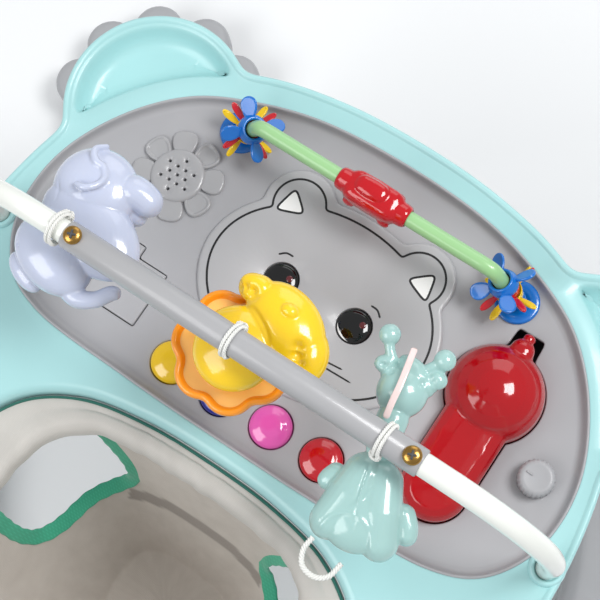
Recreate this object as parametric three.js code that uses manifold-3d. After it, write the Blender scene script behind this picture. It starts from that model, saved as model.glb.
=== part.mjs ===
// A standing baby jumper. A mint tray with a play panel, a fabric seat and a toy bar
// bounces on three sprung telescopic legs, which stand in a moulded three-footed base.
// Millimetres, +Z up. The origin is on the floor below the middle of the base, and the
// play panel faces -Y: the child sits behind it and looks along -Y.
import * as THREE from 'three';
import { mergeVertices } from 'three/addons/utils/BufferGeometryUtils.js';
import Module from 'manifold-3d';

const wasm = await Module();
wasm.setup();

// Driving dimensions ---------------------------------------------------------------------

const GAP = 0.3;                                   // between pieces that touch
const PLAY = { y: -186, z: 440 };                  // reference point on the play panel's face
const LEGS = [[-222, -262], [222, -262], [0, 298]]; // leg axes, at the ears and behind the seat
const LEG_NAMES = ['front_left', 'front_right', 'rear'];
const BASE = { ring: 324, y: -26, width: 54, low: 14, high: 58, paw: 88, toe: 27 };
const PAWS = [[-335, -310, -2.15], [335, -310, -0.99], [0, 310, Math.PI / 2]]; // centre, facing
const PANEL_THICK = 3;
const BAR = { y: 95, z: 150, r: 10, wall: 1.4, half: 141, end: 8.3, foot: 246, screw: 133.5 };
const ROD = { y: -60, z: 48, r: 6, foot: 125, lean: 0.45, bend: 7, sunk: 3.5 };
const EAR = { x: 194, y: -42, r: 73, dish: 62, deep: 10, band: 19 };
const BUTTON = { pitch: 45, y: 118.5, r: 16.2 };
const KEY = { x: -148, y: 8, dome: 37, neck: 25.5, end: 82, nub: 10, nubOut: -35 };
const FLOWER = { x: 147, y: -4, disc: 21, petals: 8, reach: 36 };
const DOOR = { x: 142, y: 89, w: 66, h: 46, tab: 13 };
const KNOB = { x: -206, y: 45, r: 14 };
const EYE = { x: 33, y: 21.5, r: 13.6 };
const SEAT_TOP = -8;                               // centre of the hoop, below the panel face

// Half outlines on the play panel's plane, from the front to the back, mirrored in X.
const TRAY_EDGE = [[0, -125], [75, -120], [140, -103], [195, -66], [236, -10], [257, 70],
  [259, 170], [242, 290], [194, 400], [112, 486], [0, 514]];
const PANEL_EDGE = [[0, -103], [75, -98], [125, -84], [170, -62], [205, -26], [230, 22],
  [236, 62], [229, 98], [208, 127], [175, 141], [90, 146], [0, 147]];
const OPENING_EDGE = [[0, 163], [60, 166], [112, 178], [150, 205], [172, 255], [175, 310],
  [158, 380], [108, 437], [0, 457]];
const HOOP_EDGE = [[0, 177], [60, 180], [98, 190], [124, 216], [134, 262], [134, 312],
  [121, 362], [80, 408], [0, 427]];

// Colours and finishes --------------------------------------------------------------------

function finish(color, roughness, metalness = 0) {
  return new THREE.MeshStandardMaterial({ color, roughness, metalness });
}

const MINT = finish('#a9dede', 0.35);
const PANEL_GRAY = finish('#a9a9ab', 0.5);
const DARK_GRAY = finish('#77787b', 0.6);
const WHITE = finish('#eceeea', 0.3);
const BLACK = finish('#0d0b0c', 0.1);
const YELLOW = finish('#f8cf10', 0.3);
const ORANGE = finish('#ff9a1c', 0.35);
const RED = finish('#c00a1c', 0.2);
const PINK = finish('#e262b4', 0.3);
const INDIGO = finish('#2b2d8c', 0.3);
const BLUE = finish('#1668c4', 0.3);
const GREEN = finish('#9edb8e', 0.35);
const LILAC = finish('#b4c0ea', 0.35);
const PALE_MINT = finish('#aee0d2', 0.35);
const FABRIC = finish('#a9a39d', 0.95);
const CORD = finish('#f2f2ee', 0.9);
const RUBBER = finish('#3c3d40', 0.9);
const STEEL = finish('#b8bcc0', 0.35, 1);
const BRASS = finish('#b89c70', 0.35, 1);
const BOARD = finish('#1f6b3c', 0.6);

// Solids ----------------------------------------------------------------------------------

// A closed three.js geometry as a solid: shared vertices merged, flat slivers dropped.
function solid(geometry) {
  const bare = geometry.clone();
  bare.deleteAttribute('normal');
  bare.deleteAttribute('uv');
  const merged = mergeVertices(bare, 1e-3);
  const index = Array.from(merged.index.array);
  const kept = [];
  for (let i = 0; i < index.length; i += 3) {
    const [a, b, c] = index.slice(i, i + 3);
    if (a !== b && b !== c && c !== a) kept.push(a, b, c);
  }
  return new wasm.Manifold(new wasm.Mesh({
    numProp: 3,
    vertProperties: new Float32Array(merged.attributes.position.array),
    triVerts: new Uint32Array(kept),
  }));
}

function geometryOf(shape) {
  if (shape.isBufferGeometry) return shape;
  const mesh = shape.asOriginal().simplify(0.04).getMesh();
  const geometry = new THREE.BufferGeometry();
  geometry.setAttribute('position', new THREE.BufferAttribute(mesh.vertProperties, 3));
  geometry.setIndex(new THREE.BufferAttribute(mesh.triVerts, 1));
  geometry.computeVertexNormals();
  return geometry;
}

function join(shapes) {
  return shapes.reduce((sum, shape) => sum.add(shape));
}

function cut(shape, tools) {
  return tools.reduce((rest, tool) => rest.subtract(tool), shape);
}

// A plate or prism: the outline from z = low to z = high.
function slab(shape, low, high) {
  const depth = high - low;
  return solid(new THREE.ExtrudeGeometry(shape, { depth, bevelEnabled: false, curveSegments: 8 })
    .translate(0, 0, low));
}

function disc(x, y, r, low, high, segments = 20) {
  return solid(new THREE.CylinderGeometry(r, r, high - low, segments)
    .rotateX(Math.PI / 2).translate(x, y, (low + high) / 2));
}

function block(x, y, w, h, low, high) {
  return solid(new THREE.BoxGeometry(w, h, high - low).translate(x, y, (low + high) / 2));
}

// A body turned about +Z from [radius, height] pairs that run up the outside.
function turned(profile, segments = 20) {
  const points = profile.map(([r, z]) => new THREE.Vector2(r, z));
  return solid(new THREE.LatheGeometry(points, segments).rotateX(Math.PI / 2));
}

function ball(x, y, z, rx, ry = rx, rz = rx) {
  return solid(new THREE.SphereGeometry(1, 8, 6).rotateX(Math.PI / 2)
    .scale(rx, ry, rz).translate(x, y, z));
}

// A round or oval rod along a curve.
function rodAlong(curve, r, sides, steps) {
  const section = new THREE.Shape();
  section.absarc(0, 0, r, 0, 2 * Math.PI);
  return solid(new THREE.ExtrudeGeometry(section,
    { extrudePath: curve, steps, curveSegments: sides, bevelEnabled: false }));
}

function through(points, closed = false) {
  return new THREE.CatmullRomCurve3(points.map((p) => new THREE.Vector3(...p)),
    closed, 'centripetal');
}

// A half outline mirrored in X, as a smooth ring of points.
function ring(half, count) {
  const mirrored = half.slice(1, -1).reverse().map(([x, y]) => [-x, y]);
  const all = [...half, ...mirrored].map(([x, y]) => [x, y, 0]);
  return through(all, true).getSpacedPoints(count).slice(0, -1)
    .map((p) => new THREE.Vector2(p.x, p.y));
}

// Moves a ring of points out along its normals, or in where the distance is negative.
function offset(points, distance) {
  return points.map((point, i) => {
    const before = points.at(i - 1);
    const after = points[(i + 1) % points.length];
    const along = after.clone().sub(before).normalize();
    return new THREE.Vector2(point.x + along.y * distance, point.y - along.x * distance);
  });
}

const shapeOf = (points) => new THREE.Shape(points);
const mirrorX = [-1, 1];

// The scene -------------------------------------------------------------------------------

const jumper = new THREE.Group();
const tray = new THREE.Group();
tray.position.set(0, PLAY.y, PLAY.z);
jumper.add(tray);

function place(parent, name, shape, material, position = [0, 0, 0], turn = [0, 0, 0]) {
  const mesh = new THREE.Mesh(geometryOf(shape), material);
  mesh.name = name;
  mesh.position.set(...position);
  mesh.rotation.set(...turn);
  parent.add(mesh);
}

// Base: a ring with three scalloped paws and a socket for each leg ---------------------------

function paw([x, y, facing]) {
  const toes = [-2, -1, 0, 1, 2].map((n) => {
    const angle = facing + n * 0.61;
    return disc(x + BASE.paw * Math.cos(angle), y + BASE.paw * Math.sin(angle), BASE.toe,
      BASE.low, BASE.high - 8, 12);
  });
  const out = Math.atan2(y - BASE.y, x);
  const arm = solid(new THREE.BoxGeometry(130, 96, BASE.high - BASE.low - 6)
    .translate(BASE.ring + 55, 0, (BASE.low + BASE.high - 6) / 2).rotateZ(out)
    .translate(0, BASE.y, 0));
  return join([disc(x, y, BASE.paw, BASE.low, BASE.high - 4, 22), arm, ...toes]);
}

const half = BASE.width / 2;
const ringBody = turned([
  [BASE.ring - half, BASE.low], [BASE.ring + half, BASE.low], [BASE.ring + half, BASE.high - 10],
  [BASE.ring + half - 12, BASE.high], [BASE.ring - half + 12, BASE.high],
  [BASE.ring - half, BASE.high - 10], [BASE.ring - half, BASE.low]], 40).translate([0, BASE.y, 0]);
const POST = { r: 14.5, foot: 40, top: 290, boss: 92 };
const bosses = LEGS.map(([x, y]) => disc(x, y, 30, BASE.low, POST.boss, 16));
const sockets = LEGS.map(([x, y]) => disc(x, y, POST.r + GAP, POST.foot, POST.boss + 1, 14));
place(jumper, 'base_frame', cut(join([ringBody, ...PAWS.map(paw), ...bosses]), sockets),
  PANEL_GRAY);

PAWS.forEach(([x, y], i) => {
  place(jumper, `foot_pad_${LEG_NAMES[i]}`,
    turned([[0, 0], [58, 0], [62, 4], [62, BASE.low - GAP], [0, BASE.low - GAP]], 18),
    RUBBER, [x, y, 0]);
});

// Legs: a post in each socket, a sleeve under the tray and a coil spring between them --------

const SLEEVE = { r: 19, bore: 15.5, low: 190, top: PLAY.z - 29, cap: 3 };
const SPRING = { r: 11.5, wire: 1.7, turns: 6 };

function springBetween(low, high) {
  const points = [];
  const steps = SPRING.turns * 6;
  for (let i = 0; i <= steps; i += 1) {
    const angle = (i / steps) * SPRING.turns * 2 * Math.PI;
    points.push([SPRING.r * Math.cos(angle), SPRING.r * Math.sin(angle),
      low + SPRING.wire + (high - low - 2 * SPRING.wire) * (i / steps)]);
  }
  const curve = new THREE.CatmullRomCurve3(points.map((p) => new THREE.Vector3(...p)));
  return rodAlong(curve, SPRING.wire, 2, steps);
}

LEGS.forEach(([x, y], i) => {
  place(jumper, `lower_post_${LEG_NAMES[i]}`,
    turned([[0, POST.foot + GAP], [POST.r, POST.foot + GAP], [POST.r, POST.top],
      [0, POST.top]], 14), WHITE, [x, y, 0]);
  place(jumper, `bounce_spring_${LEG_NAMES[i]}`,
    springBetween(POST.top + 1, SLEEVE.top - SLEEVE.cap - 1), STEEL, [x, y, 0]);
  place(jumper, `upper_sleeve_${LEG_NAMES[i]}`,
    turned([[SLEEVE.bore, SLEEVE.low], [SLEEVE.r, SLEEVE.low], [SLEEVE.r, SLEEVE.top],
      [0, SLEEVE.top], [0, SLEEVE.top - SLEEVE.cap], [SLEEVE.bore, SLEEVE.top - SLEEVE.cap],
      [SLEEVE.bore, SLEEVE.low]], 16), WHITE, [x, y, 0]);
});

// Tray shell: skin, skirt, ear dishes, wells for the panel and the seat ----------------------

const TRAY = { top: 10, skin: 5, skirt: -34, wall: 3.5 };
const trayRing = ring(TRAY_EDGE, 50);
const panelRing = ring(PANEL_EDGE, 44);
const openingRing = ring(OPENING_EDGE, 34);
const earDiscs = (r, low, high, segments) => mirrorX.map((s) => (
  disc(s * EAR.x, EAR.y, r, low, high, segments)));
const legSockets = (r, low, high) => LEGS.map(([x, y]) => disc(x, y - PLAY.y, r, low, high, 16));
const barSockets = (r, low, high) => mirrorX.map((s) => (
  disc(s * BAR.foot, BAR.y, r, low, high, 14)));

const outside = join([slab(shapeOf(trayRing), TRAY.skirt, TRAY.top),
  ...earDiscs(EAR.r, TRAY.skirt, TRAY.top, 28)]);
const inside = join([slab(shapeOf(offset(trayRing, -TRAY.wall)), TRAY.skirt - 1, TRAY.skin),
  ...earDiscs(EAR.r - TRAY.wall, TRAY.skirt - 1, TRAY.skin, 28)]);
// The dishes are the parts of the ears that lie outside a band round the play panel.
const dishes = (grow, low, high) => join(earDiscs(EAR.dish + grow, low, high, 26))
  .subtract(slab(shapeOf(offset(panelRing, EAR.band - grow)), -60, 60));
const inner = join([
  slab(shapeOf(offset(panelRing, TRAY.wall)), -22, TRAY.skin + 1),
  slab(shapeOf(offset(openingRing, TRAY.wall)), TRAY.skirt, TRAY.skin + 1),
  dishes(TRAY.wall, -EAR.deep - 4, TRAY.skin + 1),
  ...legSockets(22.5, -46, TRAY.skin + 1),
  ...barSockets(13, -24, TRAY.skin + 1),
]).intersect(join([slab(shapeOf(trayRing), -46, TRAY.top), ...earDiscs(EAR.r, -46, TRAY.top, 28)]));
const trayShell = cut(join([outside.subtract(inside), inner]), [
  slab(shapeOf(offset(panelRing, GAP)), -60, 20),
  slab(shapeOf(openingRing), -60, 20),
  slab(shapeOf(offset(trayRing, -6)), 8, 20),
  dishes(0, -EAR.deep, TRAY.top + 1),
  ...legSockets(SLEEVE.r + GAP, -60, -29 + GAP),
  ...barSockets(BAR.end + 0.5, -18, 20),
]);
place(tray, 'tray_shell', trayShell, MINT);

// Play panel and what is let into it -----------------------------------------------------------

function keyShape(grow) {
  const blank = (r, x, y) => disc(x, y, r + grow, -60, 60, 24);
  return join([
    blank(KEY.dome, KEY.x, KEY.y),
    blank(KEY.neck, KEY.x, KEY.y + KEY.end),
    block(KEY.x, KEY.y + KEY.end / 2, 2 * (KEY.neck + grow), KEY.end, -60, 60),
    blank(KEY.nub, KEY.x, KEY.y + KEY.nubOut),
  ]);
}

function doorShape(grow, low, high) {
  return join([
    block(DOOR.x, DOOR.y, DOOR.w + 2 * grow, DOOR.h + 2 * grow, low, high),
    block(DOOR.x, DOOR.y - DOOR.h / 2 - 4, DOOR.tab + 2 * grow, 12 + 2 * grow, low, high),
  ]);
}

const buttonX = [1.5, 0.5, -0.5, -1.5].map((n) => n * BUTTON.pitch);
place(tray, 'activity_panel', cut(slab(shapeOf(panelRing), -PANEL_THICK, 0), [
  keyShape(0.6),
  doorShape(0.4, -10, 10),
  ...buttonX.map((x) => disc(x, BUTTON.y, BUTTON.r + 0.6, -10, 10, 16)),
  disc(FLOWER.x, FLOWER.y, 16, -10, 10, 14),
  disc(KNOB.x, KNOB.y, 4.6, -10, 10, 10),
  ...mirrorX.map((s) => disc(s * EYE.x, EYE.y, 5, -10, 10, 8)),
]), PANEL_GRAY);

const HOUSING = { low: -40, wall: 3 };
place(tray, 'panel_housing',
  slab(shapeOf(offset(panelRing, -6)), HOUSING.low, -PANEL_THICK - GAP)
    .subtract(slab(shapeOf(offset(panelRing, -6 - HOUSING.wall)), HOUSING.low + HOUSING.wall, 20)),
  DARK_GRAY);

// Animal face: one raised plate with two round ears and holes for the eyes.
const FACE = { x: 100, y: 75, centre: 20, ear: [54, -35, 28.5], high: 3.3 };
const head = new THREE.Shape();
head.absellipse(0, FACE.centre, FACE.x, FACE.y, 0, 2 * Math.PI);
place(tray, 'face_plate', cut(join([
  solid(new THREE.ExtrudeGeometry(head,
    { depth: FACE.high - GAP, bevelEnabled: false, curveSegments: 18 }).translate(0, 0, GAP)),
  ...mirrorX.map((s) => disc(s * FACE.ear[0], FACE.ear[1], FACE.ear[2], GAP, FACE.high, 20)),
]), mirrorX.map((s) => disc(s * EYE.x, EYE.y, EYE.r + 0.4, -5, 10, 16))), PANEL_GRAY);
['right', 'left'].forEach((side, i) => {
  place(tray, `eye_lens_${side}`, turned([[0, 0.4], [EYE.r, 0.4], [EYE.r, 3.6],
    [EYE.r * 0.7, 5.2], [0, 5.9]], 14), BLACK, [mirrorX[i] * EYE.x, EYE.y, 0]);
});

// Speaker: a flower of eight petals round a drilled disc, with the driver below.
const petals = [];
for (let i = 0; i < FLOWER.petals; i += 1) {
  const a = (i + 0.5) * (2 * Math.PI / FLOWER.petals);
  petals.push(solid(new THREE.CylinderGeometry(1, 1, 3.2, 9).rotateX(Math.PI / 2)
    .scale(9.6, 8.4, 1).translate(FLOWER.reach - 9.6, 0, 1.9).rotateZ(a)));
}
const drilled = [[0, 0]];
for (let i = 0; i < 12; i += 1) {
  const a = (i / 12) * 2 * Math.PI;
  const r = i % 2 ? 11.8 : 7.2;
  drilled.push([r * Math.cos(a), r * Math.sin(a)]);
}
place(tray, 'speaker_grille', cut(join([disc(0, 0, FLOWER.disc, GAP, 4.6, 20), ...petals]),
  drilled.map(([x, y]) => disc(x, y, 1.5, -5, 10, 5))), PANEL_GRAY, [FLOWER.x, FLOWER.y, 0]);
const UNDERSIDE = -PANEL_THICK - GAP;
place(tray, 'speaker_driver', turned([[0, -24], [9, -24], [9, -16], [19, -8], [19, UNDERSIDE],
  [15.5, UNDERSIDE], [8, -9], [0, -9]], 12), DARK_GRAY, [FLOWER.x, FLOWER.y, 0]);

// Press buttons: a domed cap through the panel with a stop flange below it.
['yellow', 'blue', 'pink', 'red'].forEach((name, i) => {
  const cap = turned([[0, -12], [18.2, -12], [18.2, -9], [BUTTON.r, -9], [BUTTON.r, 2.2],
    [BUTTON.r * 0.8, 5.6], [0, 7.4]], 16);
  place(tray, `button_${name}`, cap, [YELLOW, INDIGO, PINK, RED][i], [buttonX[i], BUTTON.y, 0]);
});

// Sound key: a ball, a rounded neck and a nub in one moulding that presses down.
const KEY_LOW = -8;
const neckSide = new THREE.Shape();
[[-KEY.neck, KEY_LOW], [KEY.neck, KEY_LOW], [KEY.neck, 12], [KEY.neck * 0.6, 21],
  [-KEY.neck * 0.6, 21], [-KEY.neck, 12]].forEach(([x, z], i) => {
  if (i) neckSide.lineTo(x, z); else neckSide.moveTo(x, z);
});
const neck = solid(new THREE.ExtrudeGeometry(neckSide, { depth: KEY.end, bevelEnabled: false })
  .rotateX(Math.PI / 2).translate(0, KEY.end, 0));
const keyBody = join([
  turned([[0, KEY_LOW], [KEY.dome, KEY_LOW], [KEY.dome, 4], [KEY.dome * 0.9, 17],
    [KEY.dome * 0.66, 28], [KEY.dome * 0.34, 34], [0, 36]], 20),
  neck,
  turned([[0, KEY_LOW], [KEY.neck, KEY_LOW], [KEY.neck, 12], [KEY.neck * 0.6, 21], [0, 21]], 16)
    .translate([0, KEY.end, 0]),
  turned([[0, KEY_LOW], [KEY.nub, KEY_LOW], [KEY.nub, 12], [KEY.nub * 0.7, 17], [0, 19]], 10)
    .translate([0, KEY.nubOut, 0]),
]);
place(tray, 'sound_key', keyBody, RED, [KEY.x, KEY.y, 0]);

// Battery bay: a door flush with the panel over two cells in a box.
place(tray, 'battery_door', doorShape(0, -2.7, 0.8), PANEL_GRAY);
place(tray, 'battery_box', block(DOOR.x, DOOR.y, DOOR.w + 2, DOOR.h - 6, -27, UNDERSIDE)
  .subtract(block(DOOR.x, DOOR.y, DOOR.w - 2, DOOR.h - 10, -25, 5)), DARK_GRAY);
[-1, 1].forEach((side, i) => {
  place(tray, `battery_${i + 1}`, turned([[0, -25.2], [7.1, -25.2], [7.1, 24], [2.7, 24.4],
    [2.7, 25.2], [0, 25.2]], 10), BRASS,
  [DOOR.x, DOOR.y + side * 8, -16.5], [0, side * Math.PI / 2, 0]);
});
place(tray, 'circuit_board', block(0, 114, 172, 34, -25, -23.4), BOARD);
place(tray, 'dial_knob', turned([[0, -14], [7, -14], [7, -10], [4, -10], [4, 0.8], [KNOB.r, 0.8],
  [KNOB.r, 11], [KNOB.r - 3, 15], [0, 16]], 14), PANEL_GRAY, [KNOB.x, KNOB.y, 0]);

// Rod with a bent foot at each end, the spinners on its feet and the car on its middle --------

// A point on a foot's axis, a distance up from where it meets the panel.
const onFoot = (s, up) => (
  [s * (ROD.foot - up * Math.sin(ROD.lean)), ROD.y, up * Math.cos(ROD.lean)]);
const corner = ROD.z / Math.cos(ROD.lean);
const cornerX = onFoot(1, corner)[0];
const at = (p) => new THREE.Vector3(...p);
const bend = (s) => [at(onFoot(s, corner - ROD.bend)), at(onFoot(s, corner)),
  new THREE.Vector3(s * (cornerX - ROD.bend), ROD.y, ROD.z)];
const rodPath = new THREE.CurvePath();
const [leftDown, leftCorner, leftIn] = bend(-1);
const [rightDown, rightCorner, rightIn] = bend(1);
rodPath.add(new THREE.LineCurve3(at(onFoot(-1, ROD.sunk)), leftDown));
rodPath.add(new THREE.QuadraticBezierCurve3(leftDown, leftCorner, leftIn));
rodPath.add(new THREE.LineCurve3(leftIn, rightIn));
rodPath.add(new THREE.QuadraticBezierCurve3(rightIn, rightCorner, rightDown));
rodPath.add(new THREE.LineCurve3(rightDown, at(onFoot(1, ROD.sunk))));
place(tray, 'bead_rod', rodAlong(rodPath, ROD.r, 4, 60), GREEN);

// Four blades, each a flat oval set at a pitch to the hub's axis, which is +Z.
function blades(z, pitch, wide, root, tip) {
  return [0, 1, 2, 3].map((i) => solid(new THREE.CylinderGeometry(1, 1, 2.2, 8)
    .scale((tip - root) / 2, 1, wide).rotateX(pitch).translate((tip + root) / 2, 0, z)
    .rotateZ((i + 0.5) * Math.PI / 2)));
}

function spinner({ bore, r, height, pitch, wide, tip }) {
  const hub = turned([[0, 0], [r, 0], [r + 0.8, height * 0.4], [r * 0.86, height], [0, height]], 12);
  return join([hub, ...blades(height * 0.45, pitch, wide, r - 3, tip)])
    .subtract(disc(0, 0, bore, -20, 40, 12));
}

const THIN = { bore: ROD.r + 0.7, r: 9.4, height: 6.4, pitch: 0.7, wide: 3.2, tip: 25 };
const BROAD = { bore: ROD.r + 0.9, r: 10.6, height: 10.5, pitch: 0.5, wide: 7.2, tip: 25.5 };
const SPINNERS = [['yellow', YELLOW, THIN, 12.8], ['red', RED, THIN, 20.2],
  ['blue', BLUE, BROAD, 28.2]];

mirrorX.forEach((s) => {
  const side = s > 0 ? 'left' : 'right';
  const turn = [0, -s * ROD.lean, 0];
  const leaned = (r, low, high) => disc(0, 0, r, low, high, 14)
    .rotate([0, -s * ROD.lean * 180 / Math.PI, 0]);
  const flange = join([disc(0, 0, 17, GAP, 3.4, 20), leaned(8.6, -2, 12)])
    .subtract(block(0, 0, 60, 60, -20, GAP)).subtract(leaned(ROD.r + GAP, ROD.sunk - 0.4, 40));
  place(tray, `rod_flange_${side}`, flange, BLUE, onFoot(s, 0));
  SPINNERS.forEach(([color, material, shape, up]) => {
    place(tray, `spinner_${side}_${color}`, spinner(shape), material, onFoot(s, up), turn);
  });
});

// Car: a chubby body that slides on the rod.
const carBody = join([
  ball(0, 0, 0, 28, 13, 12.5),
  solid(new THREE.CylinderGeometry(9, 9, 62, 12).rotateZ(Math.PI / 2)),
  ball(2, 0, 7, 17, 10, 8),
  ...[[-16, 1], [14, 1], [-16, -1], [14, -1]].map(([x, s]) => (
    solid(new THREE.CylinderGeometry(5.6, 5.6, 4, 8).translate(x, s * 11.4, -6.5)))),
]).subtract(solid(new THREE.CylinderGeometry(ROD.r + 0.9, ROD.r + 0.9, 80, 12).rotateZ(Math.PI / 2)));
place(tray, 'car_bead', carBody, RED, [1, ROD.y, ROD.z]);

// Toy bar: a tube between two curved ends that plug into the tray's sides ---------------------

const bar = new THREE.Group();
bar.position.set(0, BAR.y, BAR.z);
tray.add(bar);
const alongX = (r, length, segments) => solid(
  new THREE.CylinderGeometry(r, r, length, segments).rotateZ(Math.PI / 2));
const screwHoles = (r) => mirrorX.map((s) => disc(s * BAR.screw, 0, r, 0, 30, 8));
place(bar, 'toy_bar', cut(alongX(BAR.r, 2 * BAR.half, 18)
  .subtract(alongX(BAR.r - BAR.wall, 3 * BAR.half, 18)), screwHoles(2.2)), PANEL_GRAY);
mirrorX.forEach((s) => {
  const side = s > 0 ? 'left' : 'right';
  const path = through([[s * 120, 0, 0], [s * 150, 0, 0], [s * 182, 0, -4], [s * 212, 0, -19],
    [s * 235, 0, -46], [s * BAR.foot, 0, -86], [s * BAR.foot, 0, -120], [s * BAR.foot, 0, -166]]);
  place(bar, `bar_end_${side}`, cut(rodAlong(path, BAR.end, 5, 16), screwHoles(2.2)), WHITE);
  place(bar, `bar_screw_${side}`, turned([[0, 2], [1.9, 2], [1.9, 10.4], [6.3, 10.4], [5.8, 12.6],
    [0, 14.2]], 12), BRASS, [s * BAR.screw, 0, 0]);
});

// Hanging toys. Each is drawn below its own tie, with the bar's axis at its origin.
const LOOP = { r: 12.2, cord: 1.8 };
const TIES = { elephant: 148, lion: 6, giraffe: -113 };
Object.entries(TIES).forEach(([name, x]) => {
  place(bar, `cord_loop_${name}`, new THREE.TorusGeometry(LOOP.r, LOOP.cord, 5, 14)
    .rotateY(Math.PI / 2), CORD, [x, 0, 0]);
});

place(bar, 'elephant', join([
  ball(0, -4, -33, 25, 24, 17.5),
  ball(6, -32, -34, 21, 20, 15),
  ball(-24, -26, -32, 12, 11, 9),
  ball(-33, -34, -35, 7, 7, 7),
  ball(20, 14, -36, 11, 13, 10),
  ball(-10, 18, -36, 11, 13, 10),
  ball(27, -24, -34, 14, 16, 8),
  ball(-8, -52, -34, 7, 11, 7),
]), LILAC, [TIES.elephant, 0, 0]);

place(bar, 'lion_mane', turned([[0, -55], [30, -55], [41, -52], [42, -48], [36, -44], [0, -44]], 22),
  ORANGE, [TIES.lion, -2, 0]);
place(bar, 'lion_body', join([
  ball(2, 0, -30, 27, 28, 13.6),
  ball(-17, -36, -30, 21, 25, 13),
  ball(-34, -44, -31, 12, 10, 8),
  ball(-12, -60, -31, 10, 12, 8),
  ball(-30, -22, -31, 11, 10, 8),
]), YELLOW, [TIES.lion, 0, 0]);

place(bar, 'giraffe', join([
  ball(2, 4, -30, 12, 30, 12),
  ball(14, -36, -30, 20, 17, 13.5),
  ball(-6, 44, -33, 24, 28, 15.5),
  ball(-24, 68, -34, 13, 16, 11),
  ball(6, 72, -34, 12, 15, 11),
  ball(30, -50, -28, 9, 9, 6),
  ball(2, -57, -28, 6, 11, 6),
  ball(22, -60, -28, 6, 11, 6),
  ball(-8, -42, -28, 9, 8, 6),
]), PALE_MINT, [TIES.giraffe, 0, 0]);

// Seat: a hoop that lies in the tray's opening and a fabric bucket with two leg holes --------

const hoopRing = ring(HOOP_EDGE, 37);
const hoopCurve = through(hoopRing.map((p) => [p.x, p.y, SEAT_TOP]), true);
const HOOP_R = 7.5;
const hoop = rodAlong(hoopCurve, HOOP_R, 3, 36);
const lugs = [[-70, 178.5, 12], [70, 178.5, 12], [-50, 433, 32], [50, 433, 32]]
  .map(([x, y, long]) => solid(new THREE.BoxGeometry(20, long, 5).translate(x, y, SEAT_TOP)));
place(tray, 'seat_hoop', join([hoop, ...lugs]), DARK_GRAY);

// The bucket is lofted from the hoop's outline, which shrinks towards the bottom.
const BUCKET = { depth: 205, levels: 5, wall: 4, centre: 288 };
const BUCKET_TOP = SEAT_TOP - HOOP_R - GAP;
function bucketSurface(inset, floor) {
  const outline = hoopRing.filter((_, i) => i % 2 === 0);
  const rings = [];
  for (let level = 0; level <= BUCKET.levels; level += 1) {
    const t = level / BUCKET.levels;
    const size = Math.sqrt(1 - (0.96 * t) ** 2.4);
    const z = BUCKET_TOP - t * (BUCKET.depth - floor);
    rings.push(outline.map((p) => {
      const dy = p.y - BUCKET.centre;
      const k = size * (1 - inset / Math.hypot(p.x, dy));
      return new THREE.Vector3(p.x * k, BUCKET.centre + dy * k, z);
    }));
  }
  return rings;
}

// Outer rings from the bottom up, then inner rings back down, closed by two fans.
function bucketGeometry() {
  const rings = [...bucketSurface(0, 0).reverse(), ...bucketSurface(BUCKET.wall, BUCKET.wall)];
  const count = rings[0].length;
  const bottom = rings[0][0].z;
  const positions = rings.flat().flatMap((p) => [p.x, p.y, p.z]);
  const outerMiddle = positions.length / 3;
  const innerMiddle = outerMiddle + 1;
  positions.push(0, BUCKET.centre, bottom, 0, BUCKET.centre, bottom + BUCKET.wall);
  const faces = [];
  for (let i = 0; i < count; i += 1) {
    const j = (i + 1) % count;
    for (let start = 0; start < outerMiddle - count; start += count) {
      faces.push(start + i, start + j, start + count + i);
      faces.push(start + j, start + count + j, start + count + i);
    }
    const last = outerMiddle - count;
    faces.push(outerMiddle, j, i);
    faces.push(innerMiddle, last + i, last + j);
  }
  const geometry = new THREE.BufferGeometry();
  geometry.setAttribute('position', new THREE.Float32BufferAttribute(positions, 3));
  geometry.setIndex(faces);
  return geometry;
}

// Each leg hole is cut by a cylinder that points to one side, a little forward and down.
const LEG_HOLE = { r: 60, tilt: 0.12, aim: -0.36, x: 26, y: BUCKET.centre - 30, z: -84 };
const legHole = solid(new THREE.CylinderGeometry(LEG_HOLE.r, LEG_HOLE.r, 200, 18)
  .rotateZ(Math.PI / 2).translate(100, 0, 0).scale(1, 1, 0.95)
  .rotateY(LEG_HOLE.tilt).rotateZ(LEG_HOLE.aim).translate(LEG_HOLE.x, LEG_HOLE.y, LEG_HOLE.z));
place(tray, 'seat_fabric', cut(solid(bucketGeometry()), [legHole, legHole.mirror([1, 0, 0])]),
  FABRIC);

export default jumper;
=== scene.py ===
"""A standing baby jumper: tray with play panel and toys, fabric seat, three sprung legs, base."""
import bmesh
import bpy
import numpy as np
from mathutils import Matrix, Vector
from mathutils.geometry import delaunay_2d_cdt


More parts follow.
